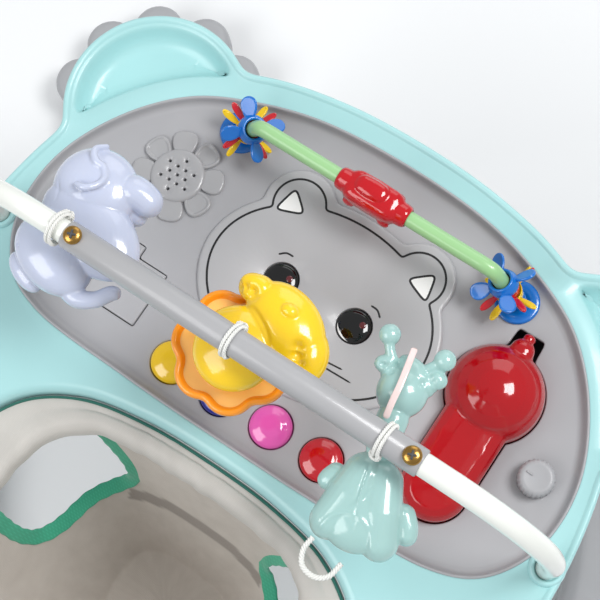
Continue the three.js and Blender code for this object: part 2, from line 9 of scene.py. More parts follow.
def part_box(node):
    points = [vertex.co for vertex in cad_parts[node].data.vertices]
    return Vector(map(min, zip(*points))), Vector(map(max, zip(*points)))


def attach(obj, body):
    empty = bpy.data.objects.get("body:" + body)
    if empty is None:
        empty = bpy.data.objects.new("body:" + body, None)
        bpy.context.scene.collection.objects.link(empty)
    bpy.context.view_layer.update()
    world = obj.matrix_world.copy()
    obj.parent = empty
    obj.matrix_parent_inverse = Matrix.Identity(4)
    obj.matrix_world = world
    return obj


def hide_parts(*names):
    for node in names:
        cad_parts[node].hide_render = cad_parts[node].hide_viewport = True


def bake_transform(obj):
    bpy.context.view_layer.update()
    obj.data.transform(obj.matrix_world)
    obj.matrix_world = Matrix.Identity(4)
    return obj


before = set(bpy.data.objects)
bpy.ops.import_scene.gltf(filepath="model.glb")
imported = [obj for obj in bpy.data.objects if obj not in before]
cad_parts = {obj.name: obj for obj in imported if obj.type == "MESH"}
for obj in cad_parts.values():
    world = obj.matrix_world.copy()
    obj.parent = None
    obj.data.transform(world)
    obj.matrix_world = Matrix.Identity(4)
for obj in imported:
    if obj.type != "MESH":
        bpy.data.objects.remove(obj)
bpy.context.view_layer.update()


# Studio ----------------------------------------------------------------------------------
# The camera looks down on the play panel from above the child's left shoulder, on a long
# lens. A pale floor under an even sky, a lamp high at the front, a broader one high behind the
# seat and a weak one lower in front.
CAMERA_AT = (-0.2043, 0.0055, 1.5655)
CAMERA_RIGHT = (-0.8289, -0.5538, -0.0787)
CAMERA_UP = (0.5270, -0.8203, 0.2221)
camera_turn = Matrix((CAMERA_RIGHT, CAMERA_UP, Vector(CAMERA_RIGHT).cross(Vector(CAMERA_UP))))
camera_data = bpy.data.cameras.new("camera")
camera_data.lens, camera_data.sensor_width = 92.0, 36.0
camera = bpy.data.objects.new("camera", camera_data)
camera.matrix_world = Matrix.Translation(CAMERA_AT) @ camera_turn.transposed().to_4x4()
bpy.context.collection.objects.link(camera)
bpy.context.scene.camera = camera

world = bpy.data.worlds.new("studio")
world.use_nodes = True
world.node_tree.nodes["Background"].inputs["Color"].default_value = (0.96, 0.98, 1.0, 1)
world.node_tree.nodes["Background"].inputs["Strength"].default_value = 0.46
bpy.context.scene.world = world
bpy.context.scene.view_settings.view_transform = "Standard"


def lamp(name, at, aim, power, size):
    """A square soft lamp at one point, turned to face another."""
    data = bpy.data.lights.new(name, "AREA")
    data.energy, data.size = power, size
    light = bpy.data.objects.new(name, data)
    light.location = at
    light.rotation_euler = (Vector(aim) - Vector(at)).to_track_quat("-Z", "Y").to_euler()
    bpy.context.collection.objects.link(light)


lamp("key_lamp", (-0.9, -0.9, 2.3), (0, -0.1, 0.4), 30, 0.8)
lamp("fill_lamp", (0.9, 1.3, 2.1), (0, 0, 0.35), 26, 1.5)
lamp("front_lamp", (0.5, -2.2, 1.4), (0, -0.2, 0.4), 8, 1.4)


def wire(tree, kind, inputs=None, **settings):
    """A shader node with its settings, and each input fed by a socket or set to a value."""
    made = tree.nodes.new("ShaderNode" + kind)
    for key, value in settings.items():
        setattr(made, key, value)
    for key, value in (inputs or {}).items():
        if isinstance(value, bpy.types.NodeSocket):
            tree.links.new(value, made.inputs[key])
        else:
            made.inputs[key].default_value = value
    return made


def effect(name, inputs, outputs):
    """An empty shader node group with its named inputs and outputs."""
    group = bpy.data.node_groups.new(name, "ShaderNodeTree")
    for key, kind in inputs.items():
        group.interface.new_socket(key, in_out="INPUT", socket_type="NodeSocket" + kind)
    for key, kind in outputs.items():
        group.interface.new_socket(key, in_out="OUTPUT", socket_type="NodeSocket" + kind)
    return group, group.nodes.new("NodeGroupInput").outputs, group.nodes.new("NodeGroupOutput").inputs


floor_mesh = bpy.data.meshes.new("floor")
floor_mesh.from_pydata([(-6, -6, 0), (6, -6, 0), (6, 6, 0), (-6, 6, 0)], [], [(0, 1, 2, 3)])
floor = bpy.data.objects.new("floor", floor_mesh)
bpy.context.collection.objects.link(floor)
floor_paint = bpy.data.materials.new("floor_paint")
floor_paint.use_nodes = True
floor_tree = floor_paint.node_tree
floor_noise = wire(floor_tree, "TexNoise", {"Scale": 3.0})
floor_tone = wire(floor_tree, "ValToRGB", {"Fac": floor_noise.outputs["Fac"]})
floor_tone.color_ramp.elements[0].color = (0.90, 0.91, 0.92, 1)
floor_tone.color_ramp.elements[1].color = (0.94, 0.95, 0.96, 1)
floor_tree.links.new(floor_tone.outputs["Color"],
                     floor_tree.nodes["Principled BSDF"].inputs["Base Color"])
floor_tree.nodes["Principled BSDF"].inputs["Roughness"].default_value = 0.7
floor_mesh.materials.append(floor_paint)


# Moulded plastic ---------------------------------------------------------------------------
# Nearly every hard piece is injection moulded: a clear, even colour with a faint cloudiness,
# and a skin between satin and gloss that carries a fine grain and soft handling marks.
skin, given, out = effect(
    "moulded_skin",
    {"Colour": "Color", "Cloud": "Float", "Gloss": "Float", "Marks": "Float", "Grain size": "Float"},
    {"Colour": "Color", "Roughness": "Float", "Height": "Float"})
here = wire(skin, "TexCoord").outputs["Object"]
cloud = wire(skin, "TexNoise", {"Vector": here, "Scale": 14.0, "Detail": 3.0})
cloud_range = wire(skin, "MapRange", {"Value": cloud.outputs["Fac"], "From Min": 0.3, "From Max": 0.7,
                                      "To Min": -1.0, "To Max": 1.0})
cloud_by = wire(skin, "Math", {0: cloud_range.outputs[0], 1: given["Cloud"]}, operation="MULTIPLY")
brighter = wire(skin, "Math", {0: cloud_by.outputs[0], 1: 1.0}, operation="ADD")
shaded = wire(skin, "VectorMath", {0: given["Colour"], "Scale": brighter.outputs[0]},
              operation="SCALE")
skin.links.new(shaded.outputs[0], out["Colour"])
smudge = wire(skin, "TexNoise", {"Vector": here, "Scale": 38.0, "Detail": 4.0, "Roughness": 0.6})
grain = wire(skin, "TexNoise", {"Vector": here, "Scale": given["Grain size"], "Detail": 2.0})
marked = wire(skin, "Math", {0: smudge.outputs["Fac"], 1: given["Marks"], 2: given["Gloss"]},
              operation="MULTIPLY_ADD")
skin.links.new(marked.outputs[0], out["Roughness"])
skin.links.new(grain.outputs["Fac"], out["Height"])


def srgb(text):
    """A hex colour as linear RGBA."""
    part = np.array([int(text[i:i + 2], 16) / 255 for i in (0, 2, 4)])
    return (*np.where(part < 0.04045, part / 12.92, ((part + 0.055) / 1.055) ** 2.4), 1.0)


def moulded(name, colour, gloss, coat=0.0, bump=0.00002, cloud=0.03, marks=0.08, grain=1400.0,
            glow=0.0):
    """A plastic of one colour: its gloss is the least roughness, coat adds a hard shine."""
    material = bpy.data.materials.new(name)
    material.use_nodes = True
    tree = material.node_tree
    shader = tree.nodes["Principled BSDF"]
    surface = wire(tree, "Group", node_tree=skin)
    for key, value in (("Colour", srgb(colour)), ("Cloud", cloud), ("Gloss", gloss - marks / 2),
                       ("Marks", marks), ("Grain size", grain)):
        surface.inputs[key].default_value = value
    rise = wire(tree, "Bump", {"Height": surface.outputs["Height"], "Distance": bump,
                               "Strength": 0.6})
    tree.links.new(surface.outputs["Colour"], shader.inputs["Base Color"])
    tree.links.new(surface.outputs["Roughness"], shader.inputs["Roughness"])
    tree.links.new(rise.outputs["Normal"], shader.inputs["Normal"])
    shader.inputs["Coat Weight"].default_value = coat
    shader.inputs["Coat Roughness"].default_value = 0.04
    shader.inputs["Subsurface Weight"].default_value = glow
    shader.inputs["Subsurface Radius"].default_value = (0.006, 0.005, 0.004)
    return material


def finish(node, material):
    """Gives a CAD node its material."""
    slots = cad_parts[node].data.materials
    slots.clear()
    slots.append(material)


# Tray --------------------------------------------------------------------------------------
# One big shell, moulded in satin mint polypropylene: a raised lip and a skirt all round, two
# round ears with dishes, a pocket for the play panel and a wide opening for the seat.
MM = 0.001
TRAY_EDGE = [(0, -125), (75, -120), (140, -103), (195, -66), (236, -10), (257, 70), (259, 170),
             (242, 290), (194, 400), (112, 486), (0, 514)]
PANEL_EDGE = [(0, -103), (75, -98), (125, -84), (170, -62), (205, -26), (230, 22), (236, 62),
              (229, 98), (208, 127), (175, 141), (90, 146), (0, 147)]
OPENING_EDGE = [(0, 163), (60, 166), (112, 178), (150, 205), (172, 255), (175, 310), (158, 380),
                (108, 437), (0, 457)]
EAR, EAR_R, DISH_R, DISH_DEEP, DISH_BAND = (194, -42), 73, 63.5, 10, 19
SKIRT = 34
BAR_FOOT = (246, 95)
LEGS = [(-222, -262), (222, -262), (0, 298)]
play_low, play_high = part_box("activity_panel")
PLAY = Vector((0, play_low.y + 103 * MM, play_high.z))      # reference point on the panel's face


def evenly(points, count, closed=True):
    """The same line with `count` points spaced evenly along its length."""
    line = np.vstack([points, points[:1]]) if closed else np.asarray(points, float)
    along = np.append(0, np.cumsum(np.linalg.norm(np.diff(line, axis=0), axis=1)))
    stops = np.linspace(0, along[-1], count, endpoint=not closed)
    return np.column_stack([np.interp(stops, along, axis) for axis in line.T])


def smooth_line(knots, steps=24, closed=True):
    """Centripetal Catmull-Rom: each span is a cubic from knot to knot, whose end slopes are the
    neighbours' differences weighed by the square roots of the spans' lengths."""
    knots = np.asarray(knots, float)
    if not closed:
        knots = np.vstack([2 * knots[0] - knots[1], knots, 2 * knots[-1] - knots[-2]])
    before, after, beyond = (np.roll(knots, n, 0) for n in (1, -1, -2))
    first, middle, last = (np.linalg.norm(b - a, axis=1)[:, None] ** 0.5
                           for a, b in ((before, knots), (knots, after), (after, beyond)))
    lead = middle * ((knots - before) / first - (after - before) / (first + middle)) + after - knots
    trail = (middle * ((beyond - after) / last - (beyond - knots) / (middle + last))
             + after - knots)
    t = (np.arange(steps) / steps)[None, :, None]
    curve = ((2 * t ** 3 - 3 * t ** 2 + 1) * knots[:, None] + (t ** 3 - 2 * t ** 2 + t) * lead[:, None]
             + (3 * t ** 2 - 2 * t ** 3) * after[:, None] + (t ** 3 - t ** 2) * trail[:, None])
    if closed:
        return curve.reshape(-1, knots.shape[1])
    return np.vstack([curve[1:-2].reshape(-1, knots.shape[1]), knots[-2]])


def outline(half, count):
    """A half outline mirrored in X, as a smooth ring that runs anticlockwise from the front."""
    half = np.array(half, float)
    return evenly(smooth_line(np.vstack([half, half[-2:0:-1] * (-1, 1)])), count)


def grown(ring, distance):
    """A ring moved outwards along its own normals."""
    along = np.roll(ring, -1, 0) - np.roll(ring, 1, 0)
    along /= np.linalg.norm(along, axis=1)[:, None]
    return ring + distance * np.column_stack([along[:, 1], -along[:, 0]])


def softened(ring, width):
    """A ring with its corners rounded: each point is the mean of its neighbours, by a bell curve
    `width` points wide."""
    reach = np.arange(-3 * width, 3 * width + 1)
    weights = np.exp(-0.5 * (reach / width) ** 2)
    return sum(w * np.roll(ring, n, 0) for w, n in zip(weights / weights.sum(), reach))


def circle(centre, radius, count=48):
    """A ring of points on a circle, anticlockwise from its +X side."""
    angle = np.arange(count) * 2 * np.pi / count
    return np.asarray(centre) + radius * np.column_stack([np.cos(angle), np.sin(angle)])


def joined(ring, centre, radius):
    """A ring united with a circle that crosses it twice: the stretch inside the circle is left
    out, and the circle's outer arc takes its place."""
    inside = np.linalg.norm(ring - centre, axis=1) < radius
    start = int(np.argmax(inside & ~np.roll(inside, 1)))
    ring, inside = np.roll(ring, -start, 0), np.roll(inside, -start)
    rest = ring[~inside]
    spread = rest - centre
    last, first = np.arctan2(spread[-1, 1], spread[-1, 0]), np.arctan2(spread[0, 1], spread[0, 0])
    angle = np.linspace(last, last + (first - last) % (2 * np.pi), 60)[1:-1]
    arc = centre + radius * np.column_stack([np.cos(angle), np.sin(angle)])
    return np.vstack([rest, arc])


def inside_rings(points, rings):
    """True where a point lies inside an odd number of rings, by crossings of a ray along +X."""
    odd = np.zeros(len(points), bool)
    for ring in rings:
        a, b = ring, np.roll(ring, -1, 0)
        x, y = points[:, :1], points[:, 1:]
        span = (a[:, 1] > y) != (b[:, 1] > y)
        rise = np.where(b[:, 1] == a[:, 1], 1.0, b[:, 1] - a[:, 1])
        cross = x < (b[:, 0] - a[:, 0]) * (y - a[:, 1]) / rise + a[:, 0]
        odd ^= (span & cross).sum(axis=1) % 2 == 1
    return odd


class Moulding:
    """A surface gathered from sheets in millimetres about a point, then made one mesh."""

    def __init__(self, at=(0.0, 0.0, 0.0)):
        self.at = np.asarray(at, float)
        self.points, self.faces, self.count = [], [], 0

    def add(self, points, faces):
        """Adds points and the faces between them."""
        self.points.append(np.asarray(points, float).reshape(-1, 3))
        self.faces += (np.asarray(faces) + self.count).tolist()
        self.count += len(self.points[-1])

    def grid(self, rows, loop=True, flip=False):
        """Adds a grid of points, row by row; with loop, each row closes on itself."""
        high, wide = rows.shape[:2]
        down, across = np.mgrid[0:high - 1, 0:wide if loop else wide - 1]
        right = (across + 1) % wide
        a, b = down * wide + across, down * wide + right
        quads = np.stack([a, b, b + wide, a + wide], -1).reshape(-1, 4)
        self.add(rows, quads[:, ::-1] if flip else quads)

    def rim(self, ring, profile):
        """Carries a profile of (outwards, height) pairs, listed outwards, round a flat ring."""
        rows = [np.column_stack([grown(ring, out), np.full(len(ring), high)])
                for out, high in profile]
        self.grid(np.stack(rows), flip=True)

    def sheet(self, rings, height):
        """Fills the flat area inside the first ring and outside the others with triangles."""
        points = np.vstack(rings)
        edges, start = [], 0
        for ring in rings:
            step = np.arange(len(ring))
            edges += (np.column_stack([step, (step + 1) % len(ring)]) + start).tolist()
            start += len(ring)
        flat, _, triangles, *_ = delaunay_2d_cdt([Vector(p) for p in points], edges, [], 0, 1e-6)
        flat, triangles = np.array([tuple(p) for p in flat]), np.array(triangles)
        triangles = triangles[inside_rings(flat[triangles].mean(axis=1), rings)]
        level = np.column_stack([flat, np.full(len(flat), height)])
        self.add(level, triangles)

    def turned(self, profile, centre=(0, 0), count=48):
        """Turns (radius, height) pairs round an upright axis; a radius of 0 closes a pole."""
        angle = np.arange(count) * 2 * np.pi / count
        radius, height = np.array(profile, float).T
        rows = np.stack([centre[0] + radius[:, None] * np.cos(angle),
                         centre[1] + radius[:, None] * np.sin(angle),
                         np.repeat(height[:, None], count, 1)], -1)
        self.grid(rows)

    def copy_of(self, other, turn, shift=(0, 0, 0)):
        """Adds another moulding's surface, turned by a matrix and then moved."""
        self.points.append(np.vstack(other.points) @ np.array(turn).T + np.asarray(shift, float))
        self.faces += [[corner + self.count for corner in face] for face in other.faces]
        self.count += len(self.points[-1])

    def mesh(self, name, material, wall=0.0, solid=False):
        """One welded, smooth-shaded object, with a wall behind its skin where one is given. The
        faces of a solid one are all turned outwards."""
        data = bpy.data.meshes.new(name)
        data.from_pydata((np.vstack(self.points) * MM + self.at).tolist(), [], self.faces)
        weld = bmesh.new()
        weld.from_mesh(data)
        bmesh.ops.remove_doubles(weld, verts=weld.verts, dist=1e-6)
        if solid:
            bmesh.ops.recalc_face_normals(weld, faces=weld.faces)
        weld.to_mesh(data)
        weld.free()
        data.polygons.foreach_set("use_smooth", np.ones(len(data.polygons), bool))
        data.materials.append(material)
        made = bpy.data.objects.new(name, data)
        bpy.context.collection.objects.link(made)
        if wall:
            thick = made.modifiers.new("wall", "SOLIDIFY")
            thick.thickness, thick.offset = wall * MM, -1
        return made


def fixed(piece, body, slot, *nodes):
    """Says what a piece moves with and hides the CAD nodes it stands for; slot, the name of its finish, is
    not used.
    """
    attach(piece, body)
    if nodes:
        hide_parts(*nodes)
    return piece


mint = moulded("mint_plastic", "a9d8d9", 0.34, coat=0.25, cloud=0.02)
panel_ring, opening_ring = outline(PANEL_EDGE, 320), outline(OPENING_EDGE, 260)
plain_tray = outline(TRAY_EDGE, 420)
ear_centres = [np.array([side * EAR[0], EAR[1]]) for side in (1, -1)]
tray_ring = joined(joined(plain_tray, ear_centres[0], EAR_R), ear_centres[1], EAR_R)
tray_ring = softened(evenly(tray_ring, 640), 2)
DECK, LIP = 8.0, 10.5
tray = Moulding(PLAY)
LIP_PROFILE = [(-6.6, DECK), (-6, DECK + 0.4), (-5, DECK + 1.5), (-3.8, LIP - 0.2), (-2.4, LIP),
               (-1.1, LIP - 0.5), (-0.2, LIP - 1.8), (0, LIP - 3.6), (0, -4), (-0.5, -SKIRT)]
tray.rim(tray_ring, LIP_PROFILE)
POCKET_PROFILE = [(0.3, -8), (0.3, 5), (0.7, 6.8), (1.6, 7.7), (3, DECK)]
tray.rim(panel_ring, POCKET_PROFILE)
OPENING_PROFILE = [(0.6, -SKIRT), (0, -6), (0.5, 1), (2.2, 5.2), (5, 7.4), (8.5, DECK)]
tray.rim(opening_ring, OPENING_PROFILE)
DISH_PROFILE = [(-16, -DISH_DEEP), (-10, -DISH_DEEP + 1.2), (-5.5, -DISH_DEEP + 4.5),
                (-2.4, -DISH_DEEP + 9.5), (-0.6, 4), (0.8, 6.6), (2.5, DECK)]
panel_band = grown(panel_ring, DISH_BAND)
dishes = []
for centre in ear_centres:
    arc = circle(centre, DISH_R, 240)
    outside = ~inside_rings(arc, [panel_band])
    start = int(np.argmax(outside & ~np.roll(outside, 1)))
    arc = np.roll(arc, -start, 0)[np.roll(outside, -start)]
    band = panel_band[np.linalg.norm(panel_band - centre, axis=1) < DISH_R]
    if np.linalg.norm(band[0] - arc[-1]) > np.linalg.norm(band[-1] - arc[-1]):
        band = band[::-1]
    dishes.append(softened(evenly(np.vstack([arc, band]), 200), 4))
    tray.rim(dishes[-1], DISH_PROFILE)
    tray.sheet([grown(dishes[-1], DISH_PROFILE[0][0])], -DISH_DEEP)
tray.sheet([grown(tray_ring, LIP_PROFILE[0][0]), grown(panel_ring, POCKET_PROFILE[-1][0]),
            grown(opening_ring, OPENING_PROFILE[-1][0])]
           + [grown(dish, DISH_PROFILE[-1][0]) for dish in dishes], DECK)
fixed(tray.mesh("tray", mint, wall=3), "tray", "mint_plastic", "tray_shell")


# Play panel ----------------------------------------------------------------------------------
# A satin gray moulding let into the tray. Its floor turns up into a low wall all round, which
# rolls over onto the tray, and it is cut out for the buttons, the key, the door and the knob.
BUTTON_PITCH, BUTTON_Y, BUTTON_R = 45, 118.5, 16.2
KEY, KEY_DOME, KEY_NECK, KEY_LONG, KEY_NUB = (-148, 8), 37, 25.5, 82, 10
FLOWER, KNOB = (147, -4), (-206, 45)
DOOR, DOOR_WIDE, DOOR_DEEP, DOOR_TAB = (142, 89), 66, 46, 13
HOLE_PROFILE = [(0, -3), (0, -0.7), (0.35, -0.15), (1.1, 0)]
panel_gray = moulded("panel_gray", "a8a8ab", 0.42, coat=0.12, cloud=0.035, grain=2600, bump=0.00003)
WALL_PROFILE = [(-7.5, 0), (-5.2, 0.3), (-3.2, 1.3), (-1.8, 3.2), (-1.0, 5.4), (-0.6, 7.4),
                (-0.1, 8.5), (0.7, 8.9), (1.4, 8.7), (1.8, 7.9)]


def key_ring(grow, count=420):
    """The key's outline: from a point on its middle line each ray runs to whichever of the dome,
    the neck and the nub reaches farthest, and the ring is that far out."""
    angle = np.arange(count) * 2 * np.pi / count
    ray = np.column_stack([np.cos(angle), np.sin(angle)])

    def reach(y, radius):
        """How far each ray runs from the middle to the far side of a circle at height y."""
        along = ray[:, 1] * y
        inside = (radius + grow) ** 2 - y ** 2 + along ** 2
        return np.where(inside > 0, along + np.sqrt(np.abs(inside)), 0.0)

    start = KEY_LONG * 0.3
    side = (KEY_NECK + grow) / np.maximum(np.abs(ray[:, 0]), 1e-6)
    high = start + side * ray[:, 1]
    neck = np.where((high > 0) & (high < KEY_LONG), side, 0.0)
    flank = (KEY_NUB + 0.8 + grow) / np.maximum(np.abs(ray[:, 0]), 1e-6)
    tip = (start + 52 + grow) / np.maximum(-ray[:, 1], 1e-6)
    nub = np.where(ray[:, 1] < 0, np.minimum(flank, tip), 0.0)
    out = np.max([reach(-start, KEY_DOME), reach(KEY_LONG - start, KEY_NECK), neck, nub], axis=0)
    return ray * out[:, None] + (KEY[0], KEY[1] + start)


def door_ring(grow):
    """The door's outline: a rectangle with a tab in the middle of its front edge."""
    wide, deep, tab = DOOR_WIDE / 2 + grow, DOOR_DEEP / 2 + grow, DOOR_TAB / 2 + grow
    front = -deep - 10
    corners = [(-wide, -deep), (-tab, -deep), (-tab, front), (tab, front), (tab, -deep),
               (wide, -deep), (wide, deep), (-wide, deep)]
    return evenly(np.array(corners) + DOOR, 200)


button_x = [side * BUTTON_PITCH for side in (1.5, 0.5, -0.5, -1.5)]
key_hole = softened(key_ring(0.8), 1)
holes = [circle((x, BUTTON_Y), BUTTON_R + 0.9) for x in button_x]
holes += [key_hole, softened(door_ring(0.5), 1), circle(KNOB, 4.6, 24)]
panel = Moulding(PLAY)
panel.rim(panel_ring, WALL_PROFILE)
for hole in holes:
    panel.rim(hole, HOLE_PROFILE)
panel.sheet([grown(panel_ring, WALL_PROFILE[0][0])]
            + [grown(hole, HOLE_PROFILE[-1][0]) for hole in holes], 0)
fixed(panel.mesh("play_panel", panel_gray), "tray", "panel_gray", "activity_panel")
dark_gray = moulded("dark_gray", "4a4b4f", 0.6)
board_green = moulded("board_green", "1f6b3c", 0.5, coat=0.4)
jacket = moulded("battery_jacket", "9a7a3c", 0.35, coat=0.5)
for inner, look in (("panel_housing", dark_gray), ("battery_box", dark_gray), ("speaker_driver", dark_gray),
                    ("circuit_board", board_green), ("battery_1", jacket), ("battery_2", jacket)):
    finish(inner, look)


# Animal face ---------------------------------------------------------------------------------
# A flat plate with two round ears, 3 mm proud of the panel and a shade paler, with its edge
# rolled down. Outline, ears, brows and whiskers are pad-printed in black and white ink.
HEAD, HEAD_R, CHEEK = (0, 20), (100, 75), 8
FACE_EAR, FACE_EAR_R, PLATE = (54, -35), 28.5, 3.3
EYE, EYE_R = (33, 21.5), 13.6
INK, INK_WIDE, INK_HIGH = "151517", 1.7, PLATE + 0.08


def face_ring(inset, blunt):
    """The face's outline: an ellipse with a round ear joined on at each side."""
    angle = np.arange(400) * 2 * np.pi / 400 - np.pi / 2
    ring = np.column_stack([(HEAD_R[0] - inset) * np.cos(angle),
                            (HEAD_R[1] - inset) * np.sin(angle)]) + HEAD
    for side in (1, -1):
        ring = joined(ring, np.array([side * FACE_EAR[0], FACE_EAR[1]]), FACE_EAR_R - inset)
    return softened(evenly(ring, 420), blunt)


face = Moulding(PLAY)
face_edge = face_ring(0, 2)
eye_rings = [circle((side * EYE[0], EYE[1]), EYE_R + 0.5) for side in (1, -1)]
EDGE_PROFILE = [(-3.2, PLATE), (-1.8, PLATE - 0.15), (-0.8, PLATE - 0.7), (-0.1, PLATE - 1.8), (0, 0)]
face.rim(face_edge, EDGE_PROFILE)
for ring in eye_rings:
    face.rim(ring, [(0, 0.4), (0, PLATE - 0.3), (0.4, PLATE)])
face.sheet([grown(face_edge, EDGE_PROFILE[0][0])] + [grown(ring, 0.4) for ring in eye_rings], PLATE)
plate_gray = moulded("plate_gray", "afafb1", 0.38, coat=0.15, cloud=0.03, grain=2600, bump=0.00003)
fixed(face.mesh("animal_face", plate_gray), "tray", "plate_gray", "face_plate")


def inked(moulding, line, wide, closed=True):
    """A printed line: a flat band along a path, which narrows to a point at an open end."""
    line = np.asarray(line, float)
    if closed:
        rows = [np.column_stack([grown(line, out), np.full(len(line), INK_HIGH)])
                for out in (wide / 2, -wide / 2)]
        moulding.grid(np.stack(rows))
        return
    along = np.gradient(line, axis=0)
    across = np.column_stack([-along[:, 1], along[:, 0]])
    across /= np.linalg.norm(across, axis=1)[:, None]
    half = wide / 2 * np.minimum(1, 8 * np.sqrt(np.linspace(0, 1, len(line))
                                              * np.linspace(1, 0, len(line)) / 4))[:, None]
    rows = [np.column_stack([line + half * across * way, np.full(len(line), INK_HIGH)])
            for way in (1, -1)]
    moulding.grid(np.stack(rows), loop=False, flip=True)


print_black, print_white = Moulding(PLAY), Moulding(PLAY)
inked(print_black, face_ring(CHEEK, 1), INK_WIDE)
for side in (1, -1):
    mirror = np.array([side, 1])
    corners = np.array([(46.5, -30.5), (63.5, -45), (68.5, -22)])
    inlay = softened(evenly(corners, 90), 5)
    inlay = inlay if side > 0 else (inlay * mirror)[::-1]
    inked(print_black, inlay, INK_WIDE)
    print_white.sheet([grown(inlay, -INK_WIDE / 3)], INK_HIGH - 0.03)
    brow = smooth_line([(35, 1.5), (41, 2), (46, 6)], 12, closed=False) * mirror
    inked(print_black, brow[::side], 1.5, closed=False)
    for start, end in (((25, 56), (44, 54)), ((25, 60), (55, 59))):
        whisker = np.linspace(start, end, 12) * mirror
        inked(print_black, whisker[::side], 1.3, closed=False)
fixed(print_black.mesh("face_print_black", moulded("black_ink", INK, 0.5)), "tray", "lens_black")
fixed(print_white.mesh("face_print_white", moulded("white_ink", "eeeeec", 0.45)), "tray",
      "white_plastic")

# Eyes: glossy black domes over lamps; the lamp shows as a dark red glint, and a white crescent
# is printed along each dome's lower edge.
lens_black = moulded("lens_black", "060505", 0.08, coat=0.5, cloud=0, marks=0.03, bump=0)
lamp_red = moulded("lamp_red", "5a0d14", 0.2, coat=1.0, bump=0)
DOME = [(0, 5.9), (3, 5.85), (6, 5.5), (9, 4.9), (11.5, 4), (12.9, 3), (EYE_R, 1.6), (EYE_R, 0.4)]
for side, name in ((1, "left"), (-1, "right")):
    middle = np.array([side * EYE[0], EYE[1]])
    lens = Moulding(PLAY)
    lens.turned(DOME[::-1], middle, 64)
    fixed(lens.mesh(f"eye_{name}", lens_black), "tray", "lens_black", f"eye_lens_{name}")
    glint = Moulding(PLAY)
    glint.turned([(2.6, 5.75), (2.2, 6.05), (1.2, 6.2), (0, 6.25)], middle + (-5.5, -3.5), 24)
    fixed(glint.mesh(f"eye_lamp_{name}", lamp_red), "tray", "lens_black")
    angle = np.linspace(0.35, 1.75, 30)
    ring = np.column_stack([np.cos(angle), np.sin(angle)])
    thick = (1.5 * np.sin(np.linspace(0, np.pi, 30)))[:, None]
    rows = [np.column_stack([middle + ring * (12.7 - thick * part),
                             np.interp(12.7 - thick[:, 0] * part, [9, 11.5, 12.9], [5.0, 4.1, 3.15])])
            for part in (0, 0.5, 1)]
    crescent = Moulding(PLAY)
    crescent.grid(np.stack(rows), loop=False)
    fixed(crescent.mesh(f"eye_crescent_{name}", moulded("crescent_white", "f2f2f0", 0.3, coat=0.5)),
          "tray", "white_plastic")


# Speaker flower ------------------------------------------------------------------------------
# A gray flower over the loudspeaker: a domed disc with thirteen holes, and eight petals, each
# second one with a raised rim inside its edge.
flower = Moulding(PLAY)
hole_spots = [(0.0, 0.0)] + [(7.2 * np.cos(a), 7.2 * np.sin(a)) for a in np.arange(6) * np.pi / 3]
hole_spots += [(13 * np.cos(a), 13 * np.sin(a)) for a in np.arange(6) * np.pi / 3 + np.pi / 6]
pierced = [circle(np.array(spot) + FLOWER, 1.25, 14) for spot in hole_spots]
disc_ring = circle(FLOWER, 21.5, 96)
DISC_PROFILE = [(-3.4, 4.8), (-1.6, 4.5), (-0.5, 3.6), (0, 2.4), (0, 0)]
flower.rim(disc_ring, DISC_PROFILE)
for ring in pierced:
    flower.rim(ring, [(0, 0.6), (0, 4.3), (0.35, 4.8)])
flower.sheet([grown(disc_ring, DISC_PROFILE[0][0])] + [grown(ring, 0.35) for ring in pierced], 4.8)
PETAL = [(18, -5.5), (29, -10.3), (35, -8), (37, 0), (35, 8), (29, 10.3), (18, 5.5)]
for i in range(8):
    turn = (i + 0.5) * np.pi / 4
    spin = np.array([[np.cos(turn), np.sin(turn)], [-np.sin(turn), np.cos(turn)]])
    petal = softened(evenly(smooth_line(PETAL), 90), 2) @ spin + FLOWER
    profile = [(-1.6, 3.0), (-0.7, 2.75), (-0.1, 2.0), (0, 0)]
    if i % 2:
        profile = [(-3.6, 2.0), (-3.0, 2.1), (-2.5, 2.9), (-1.8, 3.2), (-0.9, 3.1), (-0.2, 2.4), (0, 0)]
    flower.rim(petal, profile)
    flower.sheet([grown(petal, profile[0][0])], profile[0][1])
fixed(flower.mesh("speaker_flower", moulded("flower_gray", "a5a5a7", 0.3, coat=0.3)), "tray",
      "flower_gray", "speaker_grille")


# Buttons -------------------------------------------------------------------------------------
# Four domed caps in clear colours, polished, with a soft step moulded inside the dome. Each
# springs up through its hole in the panel.
CAP = [(BUTTON_R + 1.6, -9), (BUTTON_R, -8), (BUTTON_R, 1.4), (BUTTON_R - 0.5, 2.5), (14.2, 3.7),
       (12, 4.75), (10.4, 5.3), (9.6, 5.75), (7.5, 6.3), (4, 6.8), (0, 7.0)]
CAP_COLOURS = {"yellow": ("f4c800", "button_yellow"), "blue": ("23268c", "button_indigo"),
               "pink": ("e65ab2", "button_pink"), "red": ("c40019", "button_red")}
for (colour, (shade, slot)), x in zip(CAP_COLOURS.items(), button_x):
    cap = Moulding(PLAY)
    cap.turned(CAP, (x, BUTTON_Y), 96)
    gloss = moulded(f"button_{colour}", shade, 0.14, coat=0.9, cloud=0.05, marks=0.05, bump=0)
    fixed(cap.mesh(f"{colour}_button", gloss), f"button_{colour}_body", slot, f"button_{colour}")


